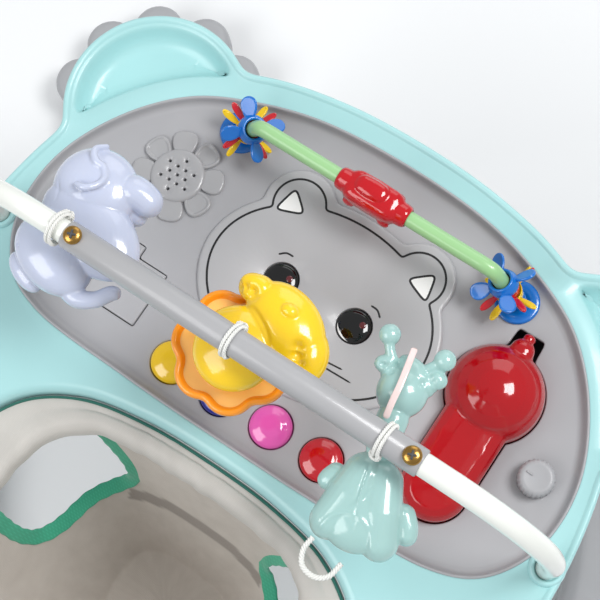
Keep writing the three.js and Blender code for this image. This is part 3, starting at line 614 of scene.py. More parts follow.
# Sound key -----------------------------------------------------------------------------------
# The biggest press key: a polished red moulding with a ball, a rounded neck and a nub, which
# rocks down through its cut-out. Its parts are fused and their creases softened.
def blob(moulding, centre, radii, turn=0.0, count=48):
    """An ellipsoid: rings of latitude from the bottom pole to the top, turned about +Z."""
    lat = np.linspace(-np.pi / 2, np.pi / 2, count // 2)[:, None]
    lon = (np.arange(count) * 2 * np.pi / count)[None]
    x, y = radii[0] * np.cos(lat) * np.cos(lon), radii[1] * np.cos(lat) * np.sin(lon)
    z = radii[2] * np.sin(lat) + 0 * lon
    moulding.grid(np.stack([centre[0] + x * np.cos(turn) - y * np.sin(turn),
                            centre[1] + x * np.sin(turn) + y * np.cos(turn), centre[2] + z], -1))


def framed(line, reference):
    """Two unit vectors across a line at each point, the first square to a reference direction."""
    along = np.gradient(line, axis=0)
    along /= np.linalg.norm(along, axis=1)[:, None]
    side = np.cross(along, reference)
    side /= np.linalg.norm(side, axis=1)[:, None]
    return side, np.cross(side, along)


def limb(moulding, knots, radii, flat=1.0, count=24, closed=False, reference=(0, 0, 1.0), square=2.0):
    """A tube along a smooth line through knots. Its radius runs between the given ones and closes
    as a half circle at each free end; flat squeezes it along the reference direction, and a
    power of more than 2 in square makes its section boxy."""
    line = smooth_line(knots, 16, closed)
    if closed:
        line = np.vstack([line, line[:2]])
    count_along = np.linspace(0, 1, len(line))
    radius = np.interp(count_along, np.linspace(0, 1, len(radii)), radii)
    if not closed:
        run = np.append(0, np.cumsum(np.linalg.norm(np.diff(line, axis=0), axis=1)))
        cap_steps = 1 - np.cos(np.linspace(0, np.pi / 2, 8))
        stops = np.unique(np.concatenate([run, radii[0] * cap_steps, run[-1] - radii[-1] * cap_steps]))
        line = np.column_stack([np.interp(stops, run, axis) for axis in line.T])
        radius = np.interp(stops, run, radius)
        for gap, cap in ((stops, radii[0]), (run[-1] - stops, radii[-1])):
            left = np.clip(1 - gap / cap, 0, 1)
            radius = radius * np.sqrt(np.clip(1 - left ** 2, 1e-8, 1))
    side, up = framed(line, np.asarray(reference, float))
    angle = (np.arange(count) * 2 * np.pi / count)[None, :, None]
    wide, high = np.cos(angle), np.sin(angle)
    bulk = (np.abs(wide) ** square + np.abs(high) ** square) ** (-1 / square)
    rows = line[:, None] + radius[:, None, None] * bulk * (side[:, None] * wide + up[:, None] * high * flat)
    moulding.grid(rows[:-1] if closed else rows)


def settled(piece):
    """Gives a piece the mesh that its modifiers make of it, smooth-shaded, and drops them."""
    shaped = piece.evaluated_get(bpy.context.evaluated_depsgraph_get())
    mesh = bpy.data.meshes.new_from_object(shaped)
    mesh.polygons.foreach_set("use_smooth", np.ones(len(mesh.polygons), bool))
    piece.modifiers.clear()
    piece.data = mesh
    return piece


def fused(piece, voxel, relax):
    """Fuses a piece's crossing bodies into one skin of square cells and evens out its creases."""
    melt = piece.modifiers.new("fuse", "REMESH")
    melt.mode, melt.voxel_size, melt.use_smooth_shade = "VOXEL", voxel * MM, True
    ease = piece.modifiers.new("ease", "SMOOTH")
    ease.factor, ease.iterations = 0.5, relax
    return settled(piece)


def pressed(piece, at, line, width, depth):
    """Moves a piece's skin in along a line on it, deepest on the line and fading with distance as
    a bell curve; a negative depth raises a ridge."""
    mesh = piece.data
    spots, facing = np.empty(len(mesh.vertices) * 3), np.empty(len(mesh.vertices) * 3)
    mesh.vertices.foreach_get("co", spots)
    mesh.vertex_normals.foreach_get("vector", facing)
    spots, facing = spots.reshape(-1, 3), facing.reshape(-1, 3)
    path = np.asarray(line, float) * MM + np.asarray(at)
    far = np.min(np.linalg.norm(spots[:, None] - path[None], axis=2), axis=1)
    spots -= facing * (depth * MM * np.exp(-(far / (width * MM)) ** 2))[:, None]
    mesh.vertices.foreach_set("co", spots.ravel())
    mesh.update()


KEY_AT = PLAY + Vector((KEY[0], KEY[1], 0)) * MM
DOME_SIDE = [(KEY_DOME, -8), (KEY_DOME, 4), (36, 11), (33, 18), (28, 24.6), (21, 30), (13, 33.8),
             (6, 35.6), (0, 36)]
key = Moulding(KEY_AT)
key.turned([(0, -8)] + DOME_SIDE, count=96)
NECK_END = [(0, -8), (KEY_NECK, -8), (KEY_NECK, 10), (KEY_NECK - 3, 16), (KEY_NECK - 8, 20), (0, 21.5)]
for y in (KEY_LONG * 0.55, KEY_LONG):
    key.turned(NECK_END, (0, y), 64)
neck_side = np.array([(KEY_NECK, -8), (KEY_NECK, 10), (22.5, 16), (16.5, 20), (8, 21.2), (-8, 21.2),
                      (-16.5, 20), (-22.5, 16), (-KEY_NECK, 10), (-KEY_NECK, -8)], float)
neck_rows = np.stack([np.column_stack([neck_side[:, 0], np.full(10, y), neck_side[:, 1]])
                      for y in (0.01, KEY_LONG * 0.5, KEY_LONG)])
key.grid(neck_rows)
key.add(neck_rows[0], [list(range(10))[::-1]])
key.add(neck_rows[-1], [list(range(10))])
limb(key, [(0, -26, 9), (0, -36, 9), (0, -46, 9)], (9.5, 9.5), square=2.6)
limb(key, [(0, -44, 9), (0, -48, 9), (0, -51, 9)], (6, 6))
key_red = moulded("key_red", "b3000f", 0.12, coat=0.45, cloud=0.04, marks=0.04, bump=0)
sound_key = fused(key.mesh("red_sound_key", key_red), 1.1, 5)
fixed(sound_key, "key", "key_red", "sound_key")


# Toy bar -------------------------------------------------------------------------------------
# A gray tube pushed over two white curved ends, which plug into collars at the tray's sides; a
# brass-plated screw with a crossed slot holds each joint.
bar_low, bar_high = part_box("toy_bar")
BAR = (bar_low + bar_high) / 2
BAR_HALF, BAR_R = 141, 10
bar_skin = moulded("bar_gray", "a9a9ab", 0.34, coat=0.25, cloud=0.03, bump=0.00001)
tube = Moulding(BAR)
limb_ring = np.linspace(0, 2 * np.pi, 65)[:-1]
tube_side = [(-BAR_HALF, 8.6), (-BAR_HALF, 9.4), (-BAR_HALF + 0.8, BAR_R), (BAR_HALF - 0.8, BAR_R),
             (BAR_HALF, 9.4), (BAR_HALF, 8.6)]
tube.grid(np.stack([np.column_stack([np.full(64, x), -r * np.cos(limb_ring), r * np.sin(limb_ring)])
                    for x, r in tube_side]))
fixed(tube.mesh("gray_toy_bar", bar_skin), "bar", "bar_gray", "toy_bar")
END_PATH = [(120, 0, 0), (150, 0, 0), (182, 0, -4), (212, 0, -19), (235, 0, -46), (246, 0, -86),
            (246, 0, -120), (246, 0, -166)]
bar_white = moulded("bar_white", "eef0ea", 0.22, coat=0.5, cloud=0.02, bump=0.00001)
brass = moulded("screw_brass", "b48c4c", 0.25, cloud=0.12, marks=0.2, bump=0.00002)
brass.node_tree.nodes["Principled BSDF"].inputs["Metallic"].default_value = 1.0
SCREW_X = 133.5
for side, name in ((1, "left"), (-1, "right")):
    end = Moulding(BAR)
    limb(end, [(side * x, y, z) for x, y, z in END_PATH], (8.3, 8.3), count=40, reference=(0, 1.0, 0))
    fixed(end.mesh(f"white_bar_end_{name}", bar_white), "bar", "white_plastic", f"bar_end_{name}")
    screw = Moulding(BAR + Vector((side * SCREW_X, 0, 0)) * MM)
    screw.turned([(1.9, 8), (6.1, 9.7), (6.5, 10.6), (6.3, 11.7), (5.4, 12.7), (3.9, 13.4), (2, 13.8),
                  (0, 13.9)], count=64)
    head_piece = screw.mesh(f"brass_screw_{name}", brass)
    # The crossed slot is painted shade: a dark gray cross laid on the brass head stands in for the shadow
    # inside the slot, which is not cut.
    slot_shade_cross = Moulding(BAR + Vector((side * SCREW_X, 0, 0)) * MM)
    for turn in (0.35, 0.35 + np.pi / 2):
        limb(slot_shade_cross, [(-3.2 * np.cos(turn), -3.2 * np.sin(turn), 13.9), (0, 0, 13.7),
                         (3.2 * np.cos(turn), 3.2 * np.sin(turn), 13.9)], (0.75, 0.95, 0.75), flat=1.9)
    slot_shade_mesh = slot_shade_cross.mesh(f"screw_slot_shade_{name}", dark_gray)
    fixed(head_piece, "bar", "screw_brass", f"bar_screw_{name}")
    fixed(slot_shade_mesh, "bar", "screw_brass")
    collar = Moulding(PLAY + Vector((side * BAR_FOOT[0], BAR_FOOT[1], 0)) * MM)
    collar.turned([(14, 4), (13.6, 9), (12.8, 11.2), (11.4, 12.2), (10, 11.8), (9.2, 10.4), (9.2, -10)],
                  count=64)
    fixed(collar.mesh(f"bar_collar_{name}", mint), "tray", "mint_plastic")


# Rod, spinners and car -----------------------------------------------------------------------
# A green rod whose two feet lean inwards out of blue flanges. Each foot carries three loose
# spinners of injection-moulded plastic, and a glossy red car slides along the middle.
ROD_Y, ROD_TOP, ROD_R, ROD_FOOT, ROD_LEAN, ROD_BEND = -60, 48, 6, 125, 0.45, 7


def on_foot(side, up):
    """A point on a foot's axis, a distance up it from the panel's face."""
    return np.array([side * (ROD_FOOT - up * np.sin(ROD_LEAN)), ROD_Y, up * np.cos(ROD_LEAN)])


rod_corner = ROD_TOP / np.cos(ROD_LEAN)
half_rod = [on_foot(1, up) for up in (3.5, 16, 28, 38, rod_corner - ROD_BEND)]
bend_in = on_foot(1, rod_corner) - (ROD_BEND, 0, 0)
half_rod += [(half_rod[-1] + bend_in) / 4 + on_foot(1, rod_corner) / 2, bend_in]
half_rod += [(x, ROD_Y, ROD_TOP) for x in (84, 56, 28)]
rod = Moulding(PLAY)
mirrored = [np.asarray(p) * (-1, 1, 1) for p in half_rod]
limb(rod, half_rod + [(0, ROD_Y, ROD_TOP)] + mirrored[::-1], (ROD_R, ROD_R), count=40,
     reference=(0, 1.0, 0))
rod_green = moulded("rod_green", "9ccb90", 0.3, coat=0.35, cloud=0.02, bump=0.00001)
fixed(rod.mesh("green_rod", rod_green), "tray", "rod_green", "bead_rod")

blue = moulded("blue_plastic", "0a6fc8", 0.2, coat=0.6, cloud=0.03, bump=0.00001, glow=0.05)
spinner_skins = {"blue": blue,
                 "red": moulded("red_plastic", "cf0a20", 0.15, coat=0.8, cloud=0.03, bump=0.00001, glow=0.04),
                 "yellow": moulded("yellow_plastic", "f7cf12", 0.25, coat=0.5, cloud=0.03, bump=0.00001,
                                   glow=0.06)}
THIN_HUB = [(6.7, 0), (9, 0), (8.7, 1.8), (9.0, 3.8), (10.2, 6), (9.9, 6.5), (9.1, 6.3), (8, 4.6), (6.7, 4.4),
            (6.7, 0)]
BROAD_HUB = [(6.9, 0), (10.4, 0), (11.3, 1.2), (11.6, 3.4), (11.2, 5.6), (10.2, 7.4), (9.6, 8.2), (9.7, 9.8),
             (9.2, 10.5), (8.0, 10.5), (7.4, 9.8), (6.9, 8.6), (6.9, 0)]
# (name, height up the foot, hub, blade's root, tip, half width, pitch, middle's height, recess,
# turn at rest)
SPINNERS = [("yellow", 12.8, THIN_HUB, 7.6, 25, 3.3, 0.95, 2.9, 0.0, 0.95),
            ("red", 20.2, THIN_HUB, 7.6, 25, 3.3, 0.95, 2.9, 0.0, 0.75),
            ("blue", 28.2, BROAD_HUB, 8.2, 25.5, 7.4, 1.0, 4.7, 0.45, 0.5)]
for side, name in ((1, "left"), (-1, "right")):
    lean = Matrix.Rotation(-side * ROD_LEAN, 3, "Y")
    flange = Moulding(PLAY)
    flange.turned([(17, 0.3), (17, 2.1), (16.4, 3), (15.2, 3.4), (7.6, 3.6), (6.6, 1), (0, 1)],
                  (side * ROD_FOOT, ROD_Y), 64)
    neck = Moulding()
    neck.turned([(8.6, 4.6), (8.6, 11), (8.1, 11.9), (7.2, 12), (6.5, 11.4), (6.5, 4.6)], count=64)
    flange.copy_of(neck, lean, on_foot(side, 0))
    fixed(flange.mesh(f"blue_flange_{name}", blue), "tray", "blue_plastic", f"rod_flange_{name}")
    for colour, up, hub, root, tip, wide, pitch, middle, recess, rest in SPINNERS:
        spinner, plate = Moulding(PLAY), Moulding()
        spinner_hub = Moulding()
        spinner_hub.turned(hub, count=64)
        angle = np.arange(56) * 2 * np.pi / 56
        swell = 0.86 + 0.2 * np.cos(angle)
        blade_ring = np.column_stack([(tip + root) / 2 + (tip - root) / 2 * np.cos(angle),
                                      wide * np.sin(angle) * swell])
        plate.rim(blade_ring, [(-1.9, 1.0 - recess), (-1.3, 1.1), (-0.7, 1.1), (-0.2, 0.8), (0, 0),
                               (-0.2, -0.8), (-0.7, -1.1), (-1.9, -1.0)])
        for height in (1.0 - recess, -1.0):
            plate.sheet([grown(blade_ring, -1.9)], height)
        whole = Moulding()
        whole.copy_of(spinner_hub, np.eye(3))
        for quarter in range(4):
            spread = (Matrix.Rotation((quarter + rest) * np.pi / 2, 3, "Z")
                      @ Matrix.Rotation(np.pi / 2 + pitch, 3, "X"))
            whole.copy_of(plate, spread, (0, 0, middle))
        spinner.copy_of(whole, lean, on_foot(side, up))
        fixed(spinner.mesh(f"{colour}_spinner_{name}", spinner_skins[colour], solid=True),
              f"spinner_{name}_{colour}_body", f"{colour}_plastic", f"spinner_{name}_{colour}")


def bored(piece, centre, radius, length, turn, name):
    """Takes a round hole out of a piece with an exact boolean, and keeps the result."""
    drill = Moulding(centre)
    stick = Moulding()
    stick.turned([(0, -length / 2), (radius, -length / 2), (radius, length / 2), (0, length / 2)], count=48)
    drill.copy_of(stick, turn)
    tool = drill.mesh(name, piece.data.materials[0], solid=True)
    hole = piece.modifiers.new("hole", "BOOLEAN")
    hole.operation, hole.solver, hole.object = "DIFFERENCE", "EXACT", tool
    settled(piece)
    bpy.data.objects.remove(tool)


CAR_AT = PLAY + Vector((1, ROD_Y, ROD_TOP)) * MM
SLEEVE_SIDE = [(-31, 0), (-31, 5.4), (-30.4, 7), (-29, 8.3), (-27, 8.8), (-17, 9.5), (-14.2, 9), (-12.8, 7.4),
               (-12.4, 5), (-12.4, 0)]
car = Moulding(CAR_AT)
sleeve = Moulding()
sleeve.turned([(r, x) for x, r in SLEEVE_SIDE], count=48)
along_x = Matrix.Rotation(np.pi / 2, 3, "Y")
car.copy_of(sleeve, along_x)
car.copy_of(sleeve, Matrix.Rotation(-np.pi / 2, 3, "Y"))
limb(car, [(-26, 0, -0.5), (0, 0, 0), (26, 0, -0.5)], (12.2, 12.8, 12.2), flat=0.86, square=3.2, count=40,
     reference=(0, 0, 1.0))
limb(car, [(-12, -2, 7.5), (2, -2, 8.5), (17, -2, 7.5)], (7, 8, 7), flat=0.7, square=2.6)
for x in (-15, 15):
    for y in (-11.6, 11.6):
        blob(car, (x, y, -6), (5, 2.6, 5))
red_gloss = moulded("red_gloss", "be0012", 0.12, coat=0.5, cloud=0.03, bump=0.00001)
red_car = fused(car.mesh("red_car", red_gloss), 0.7, 2)
pressed(red_car, CAR_AT, smooth_line([(-11, 8.6, 8), (0, 9.6, 8.4), (11, 8.6, 8)], 24, False), 0.7, 0.7)
for x, y in ((-5, 2), (5, 5)):
    pressed(red_car, CAR_AT, np.column_stack([circle((x, y), 1.5, 20), np.full(20, 11.5)]), 0.5, -0.5)
bored(red_car, CAR_AT, 7.0, 80, along_x, "car_drill")
fixed(red_car, "car", "red_plastic", "car_bead")


# Battery door and dial -------------------------------------------------------------------------
# A snap-in door over the two cells, with a tab and a raised coin-slot mark, and a ribbed dial.
door = Moulding(PLAY)
DOOR_PROFILE = [(-1.6, 1.0), (-0.8, 0.9), (-0.2, 0.4), (0, -0.4), (0, -2.7)]
door.rim(door_ring(-0.2), DOOR_PROFILE)
door.sheet([grown(door_ring(-0.2), -1.6)], 1.0)
mark_at = (DOOR[0], DOOR[1] - 8)
door.turned([(6.6, 1.0), (6.3, 1.5), (5.7, 1.6), (5.1, 1.5), (4.8, 1.0)], mark_at, 48)
limb(door, [(mark_at[0] + along, mark_at[1], 1.1) for along in (-3, 0, 3)], (0.8, 0.8), count=12)
fixed(door.mesh("battery_lid", panel_gray), "door", "panel_gray", "battery_door")
dial = Moulding(PLAY)
DIAL_SIDE = [(0, -13), (7, -13), (7, -10), (4, -10), (4, 0.8), (14, 0.8), (14, 11), (13.4, 13.4), (11.8, 15),
             (10, 15.6), (9, 15.4), (0, 15.2)]
spin = np.arange(192) * 2 * np.pi / 192
dial_radius, dial_height = np.array(DIAL_SIDE, float).T
flute = 1 - 0.035 * (0.5 + 0.5 * np.cos(24 * spin)) ** 2 * (dial_radius[:, None] > 13)
dial.grid(np.stack([KNOB[0] + dial_radius[:, None] * flute * np.cos(spin),
                    KNOB[1] + dial_radius[:, None] * flute * np.sin(spin),
                    np.repeat(dial_height[:, None], 192, 1)], -1))
limb(dial, [(KNOB[0] + out, KNOB[1], up) for out, up in ((3, 15.3), (6, 15.4), (9, 15.5))], (0.9, 0.9),
     count=12)
fixed(dial.mesh("gray_dial", panel_gray), "knob", "panel_gray", "dial_knob")


# Hanging toys --------------------------------------------------------------------------------
# Three blow-moulded animals, glossy and a little soft in colour, each hung under the bar by
# its cord: a lilac elephant, a lion whose orange mane is a scalloped collar, a mint giraffe.
def toy_plastic(name, colour, tone=0.03):
    """Soft blow-moulded vinyl: glossy, with light going a little way in."""
    return moulded(name, colour, 0.2, coat=0.6, cloud=tone, marks=0.1, bump=0.00001, grain=900, glow=0.12)


elephant_at = BAR + Vector((148, 0, 0)) * MM
lion_at = BAR + Vector((6, 0, 0)) * MM
giraffe_at = BAR + Vector((-113, 0, 0)) * MM

elephant = Moulding(elephant_at)
blob(elephant, (6, -40, -34), (31, 30, 18))
blob(elephant, (-8, -14, -33), (43, 27, 17), turn=-0.25)
blob(elephant, (4, 14, -35), (33, 24, 17), turn=-0.3)
limb(elephant, [(-6, -50, -32), (-24, -53, -34), (-40, -50, -38)], (15, 12, 9.5))
limb(elephant, [(-8, -36, -38), (-22, -41, -43), (-33, -42, -47)], (12, 9, 8))
limb(elephant, [(-12, 26, -38), (-26, 30, -38), (-38, 24, -37), (-46, 14, -36), (-52, 13, -36)],
     (8, 7, 6, 5.5, 4.5))
blob(elephant, (16, 34, -41), (17, 9, 8), turn=-0.4)
limb(elephant, [(15, -34, -15), (7, -34, -12), (1, -40, -14), (0, -48, -17), (6, -54, -18), (13, -55, -18),
                (19, -62, -21), (14, -70, -27)], (1.8, 2.6, 2.6, 2.6, 2.6, 2.6, 2.4, 1.8))
lilac = fused(elephant.mesh("elephant_toy", toy_plastic("elephant_lilac", "c3cadf")), 0.85, 3)
pressed(lilac, elephant_at, smooth_line([(28, -30, -24), (22, -18, -20), (26, -2, -20)], 16, False), 1.0, 0.8)
pressed(lilac, elephant_at, smooth_line([(28, 22, -26), (4, 34, -34), (-14, 32, -36)], 16, False), 1.2, 1.4)
fixed(lilac, "elephant_body", "elephant_lilac", "elephant")

lion = Moulding(lion_at)
blob(lion, (2, 0, -31), (29, 30, 16.5))
blob(lion, (-17.5, -31, -31), (33.5, 24.5, 16), turn=2.75)
blob(lion, (-40, -22, -33), (16, 21, 13), turn=0.4)
limb(lion, [(25, -37, -32), (15, -41, -30), (0, -42, -30)], (8.5, 10.5, 12))
blob(lion, (-17, -39, -17), (6.5, 5, 4.4))
body = fused(lion.mesh("lion_toy", toy_plastic("lion_yellow", "ffd21e")), 0.8, 3)
pressed(body, lion_at, [(24, -34, -24), (19, -36.5, -21), (13, -37, -20)], 4.8, 4.4)
pressed(body, lion_at, [(-35, -22, -20), (-37, -17, -21), (-41, -13, -23)], 4.5, 5.0)
pressed(body, lion_at, smooth_line([(-23, -43, -16), (-27, -45, -17), (-33, -45, -20)], 12, False), 0.8, 0.9)
pressed(body, lion_at, smooth_line([(24, -16, -21), (8, -27, -20), (-10, -20, -17), (-22, -6, -19),
                                    (-27, 8, -24)], 16, False), 1.8, 1.3)
fixed(body, "lion_hung", "lion_yellow", "lion_body")


def lobed(middle, radius, depth, lobes, phase, count=420):
    """A scalloped ring: the radius swells between notches as the root of a sine."""
    angle = np.arange(count) * 2 * np.pi / count
    swell = np.sqrt(np.abs(np.sin(lobes * (angle - phase) / 2)) + 0.02)
    out = radius - depth + depth * swell
    return np.array(middle) + out[:, None] * np.column_stack([np.cos(angle), np.sin(angle)])


mane = Moulding(lion_at)
mane_ring = softened(lobed((5, 1), 45, 9, 7, -0.19), 5)
MANE_PROFILE = [(-25, -47), (-8.5, -47.5), (-6.5, -47), (-5.2, -45), (-4.2, -43.2), (-2.6, -42.4),
                (-1.1, -43.2), (-0.2, -45), (0, -47.5), (-0.6, -50), (-2.4, -51.6), (-6, -52.4), (-25, -52.6)]
mane.rim(mane_ring, MANE_PROFILE)
mane.sheet([grown(mane_ring, -25)], -47)
orange = mane.mesh("lion_mane_toy", toy_plastic("lion_orange", "ff9c20", 0.05))
fixed(orange, "lion_hung", "lion_orange", "lion_mane")
field = Moulding(lion_at)
field_ring = softened(lobed((5, 1), 45 - 5.6, 8, 7, -0.19), 8)
field.sheet([field_ring], -46.6)
fixed(field.mesh("lion_mane_field", toy_plastic("mane_field", "ffc56a", 0.08)), "lion_hung", "lion_orange")

giraffe = Moulding(giraffe_at)
limb(giraffe, [(9, -28, -32), (4, -6, -31), (0, 12, -32)], (12, 10.5, 12))
limb(giraffe, [(2, 8, -32), (2, 40, -34), (8, 74, -36)], (14, 17, 11.5), flat=0.95)
limb(giraffe, [(-4, 8, -32), (-20, 40, -34), (-37, 66, -36)], (13, 16, 11.5), flat=0.95)
blob(giraffe, (-9, 46, -34), (27, 27, 14))
limb(giraffe, [(-28, 26, -36), (-40, 38, -38), (-45, 48, -39)], (8, 8, 6.5))
limb(giraffe, [(16, 26, -36), (21, 38, -38), (22, 46, -39)], (7, 7, 5.5))
blob(giraffe, (11, -36, -31), (17.5, 18, 15))
blob(giraffe, (9, -50, -31), (17, 9, 11), turn=-0.35)
for knots, radii in (([(24, -44, -30), (30, -45, -28), (37, -42, -26)], (6.5, 7.5, 3.5)),
                     ([(0, -50, -30), (-5, -54, -28), (-9, -50, -26)], (6.5, 7.5, 3.5)),
                     ([(25, -48, -27), (32, -54, -25), (37, -61, -24)], (4, 3.6, 4)),
                     ([(6, -55, -27), (2, -61, -25), (-1, -67, -24)], (4, 3.6, 4))):
    limb(giraffe, knots, radii)
blob(giraffe, (38, -63, -24), (7.5, 7.5, 7))
blob(giraffe, (-2, -68, -24), (7.5, 7.5, 7))
pale_mint = fused(giraffe.mesh("giraffe_toy", toy_plastic("giraffe_mint", "a3c8c4")), 0.85, 3)
pressed(pale_mint, giraffe_at, [(31, -43, -21), (28, -44, -20), (25, -43, -20)], 2.6, 3.0)
pressed(pale_mint, giraffe_at, [(-3, -50, -20), (-1, -49, -19), (1, -47, -19)], 2.6, 3.0)
pressed(pale_mint, giraffe_at, smooth_line([(3, 12, -19), (-5, 40, -19), (-15, 66, -22), (-18, 76, -28)], 24,
                                           False), 0.9, 1.6)
pressed(pale_mint, giraffe_at, smooth_line([(8, 74, -26), (4, 58, -22), (-6, 50, -20), (-20, 52, -21),
                                            (-30, 64, -25)], 16, False), 1.4, -0.7)
fixed(pale_mint, "giraffe_body", "giraffe_mint", "giraffe")
strap = Moulding(giraffe_at)
limb(strap, [(9, -13, -13.2), (11, -24, -12.6), (13, -38, -12.4), (16, -52, -15), (19, -64, -21)],
     (2.3, 2.3, 2.3), flat=0.4, square=4)
strap_pink = toy_plastic("strap_pink", "ecd5d2")
fixed(strap.mesh("giraffe_strap", strap_pink), "giraffe_body", "giraffe_mint")


# Cords ---------------------------------------------------------------------------------------
# Soft white twisted cord, twice round the bar and knotted at the toy's side of it. The loops
# have no free end. The giraffe has a second short loop below its feet.
cord_white = bpy.data.materials.new("cord_white")
cord_white.use_nodes = True
cord_tree = cord_white.node_tree
cord_shader = cord_tree.nodes["Principled BSDF"]
fibres = wire(cord_tree, "TexNoise", {"Vector": wire(cord_tree, "TexCoord").outputs["Object"],
                                      "Scale": 2600.0, "Detail": 3.0})
fluff = wire(cord_tree, "ValToRGB", {"Fac": fibres.outputs["Fac"]})
fluff.color_ramp.elements[0].color, fluff.color_ramp.elements[1].color = srgb("d9d9d4"), srgb("fbfbf8")
cord_tree.links.new(fluff.outputs["Color"], cord_shader.inputs["Base Color"])
fuzz = wire(cord_tree, "Bump", {"Height": fibres.outputs["Fac"], "Distance": 0.0003, "Strength": 0.5})
cord_tree.links.new(fuzz.outputs["Normal"], cord_shader.inputs["Normal"])
cord_shader.inputs["Roughness"].default_value = 0.85


def twisted(moulding, line, radius, lay, closed=False, strands=3, count=10):
    """Laid cord: round strands, each on a helix of its own about the line, one turn each `lay`."""
    line = evenly(line, int(len(line) * 3), closed)
    ring = np.vstack([line, line[:1]]) if closed else line
    run = np.append(0, np.cumsum(np.linalg.norm(np.diff(ring, axis=0), axis=1)))
    turns = max(1, round(run[-1] / lay))
    side, up = framed(np.vstack([ring[-2:-1], ring, ring[1:2]]) if closed else line, np.array([0, 0.04, 1.0]))
    side, up = (side[1:-1][:len(line)], up[1:-1][:len(line)]) if closed else (side, up)
    angle = run[:len(line)] / run[-1] * turns * 2 * np.pi
    for strand in range(strands):
        swing = (angle + strand * 2 * np.pi / strands)[:, None]
        core = line + radius * 0.5 * (side * np.cos(swing) + up * np.sin(swing))
        around = (np.arange(count) * 2 * np.pi / count)[None, :, None]
        rows = core[:, None] + radius * 0.56 * (side[:, None] * np.cos(around) + up[:, None] * np.sin(around))
        moulding.grid(np.concatenate([rows, rows[:1]]) if closed else rows)


WRAP_R, CORD_R = 11.6, 1.35
for name, at, body_name in (("elephant", elephant_at, "elephant_body"), ("lion", lion_at, "lion_hung"),
                            ("giraffe", giraffe_at, "giraffe_body")):
    loops = Moulding(at)
    round_bar = np.arange(96) * 2 * np.pi / 96
    for shift in (-1.45, 1.45):
        lean = shift + 1.1 * np.cos(round_bar)
        loops_line = np.column_stack([lean, -WRAP_R * np.sin(round_bar), WRAP_R * np.cos(round_bar)])
        twisted(loops, loops_line, CORD_R, 5.5, closed=True)
    knot_y = -11.4 if name != "giraffe" else 11.4
    for turn in (0, 1):
        a = np.linspace(0, 2 * np.pi, 40)[:-1]
        bend_line = np.column_stack([3.0 * np.cos(a) + 0.8 * turn, knot_y + 2.4 * np.sin(a) * (1 - 2 * turn),
                                     -3 + 2.2 * np.sin(2 * a + turn)])
        twisted(loops, bend_line, 1.25, 5, closed=True)
    hang = [(-0.5, knot_y * 0.7, -9), (0.5, knot_y * 0.45, -12), (0, knot_y * 0.2, -16)]
    twisted(loops, smooth_line(hang, 16, False), 1.3, 5)
    fixed(loops.mesh(f"cord_of_{name}", cord_white), body_name, "white_cord", f"cord_loop_{name}")
feet_loop = Moulding(giraffe_at)
twisted(feet_loop, smooth_line([(8, 76, -34), (9, 86, -35), (4, 95, -36), (-6, 97, -36), (-14, 92, -36),
                                (-17, 80, -35)], 12, False), 1.9, 7)
fixed(feet_loop.mesh("giraffe_feet_loop", cord_white), "giraffe_body", "white_cord")


# Seat ------------------------------------------------------------------------------------------
# A fabric bucket sewn of gray twill, which hangs from a hoop in the tray's opening: a satin band
# over the hoop, dark green piping, a darker seam band in front, and green tape bound round the
# two leg holes. The cloth is cut a little large, is held at its hoop and tapes, and is let
# sag into its folds by a short cloth simulation.
HOOP_EDGE = [(0, 177), (60, 180), (98, 190), (124, 216), (134, 262), (134, 312), (121, 362), (80, 408),
             (0, 427)]
SEAT_MID = np.array([0, 288.0])
CLOTH_TOP, CLOTH_DEEP, CLOTH_PINCH, CLOTH_EASE, SAG_FRAMES = -16.5, 201, 0.62, 0.022, 24
HOLE_AT, HOLE_AIM, HOLE_HALF, HOLE_LOW, HOLE_POWER = np.array([32.0, 269]), -0.36, 54, (-62, 62), 2.6


def polar(ring):
    """A ring about the seat's middle as a function from direction to radius."""
    spread = ring - SEAT_MID
    angle = np.arctan2(spread[:, 1], spread[:, 0])
    order = np.argsort(angle)
    radius = np.linalg.norm(spread, axis=1)[order]
    return lambda towards: np.interp(towards, angle[order], radius, period=2 * np.pi)


hoop_reach, opening_reach = polar(outline(HOOP_EDGE, 400)), polar(opening_ring)


def narrowing(height):
    """How far the bucket has narrowed at a height, as a share of the hoop's outline."""
    down = np.clip((CLOTH_TOP - height) / CLOTH_DEEP, 0, 1)
    return 1 - CLOTH_PINCH * down ** 1.2


def on_wall(sideways, height):
    """The point of the bucket's wall a distance across the leg hole's aim and at a height, found
    by halving the distance along the aim between the middle and well outside."""
    aim = np.array([np.cos(HOLE_AIM), np.sin(HOLE_AIM)])
    across = np.array([-aim[1], aim[0]])
    near, far = np.zeros(len(height)), np.full(len(height), 220.0)
    for _ in range(40):
        reach = (near + far) / 2
        spot = HOLE_AT + reach[:, None] * aim + sideways[:, None] * across
        spread = spot - SEAT_MID
        limit = hoop_reach(np.arctan2(spread[:, 1], spread[:, 0])) * narrowing(height)
        outside = np.linalg.norm(spread, axis=1) > limit
        near, far = np.where(outside, near, reach), np.where(outside, reach, far)
    return np.column_stack([spot, height])


# The left hole's edge: down its front, round below and up its back, as a superellipse.
swing = np.linspace(np.pi, 2 * np.pi, 90)
hole_side = np.sign(np.cos(swing)) * np.abs(np.cos(swing)) ** (2 / HOLE_POWER) * HOLE_HALF
hole_down = HOLE_LOW[0] - HOLE_LOW[1] * np.abs(np.sin(swing)) ** (2 / HOLE_POWER)
climb = np.linspace(CLOTH_TOP - 1, HOLE_LOW[0], 24)[:-1]
hole_edge = evenly(on_wall(np.concatenate([np.full(23, -HOLE_HALF), hole_side, np.full(23, HOLE_HALF)]),
                           np.concatenate([climb, hole_down, climb[::-1]])), 240, False)

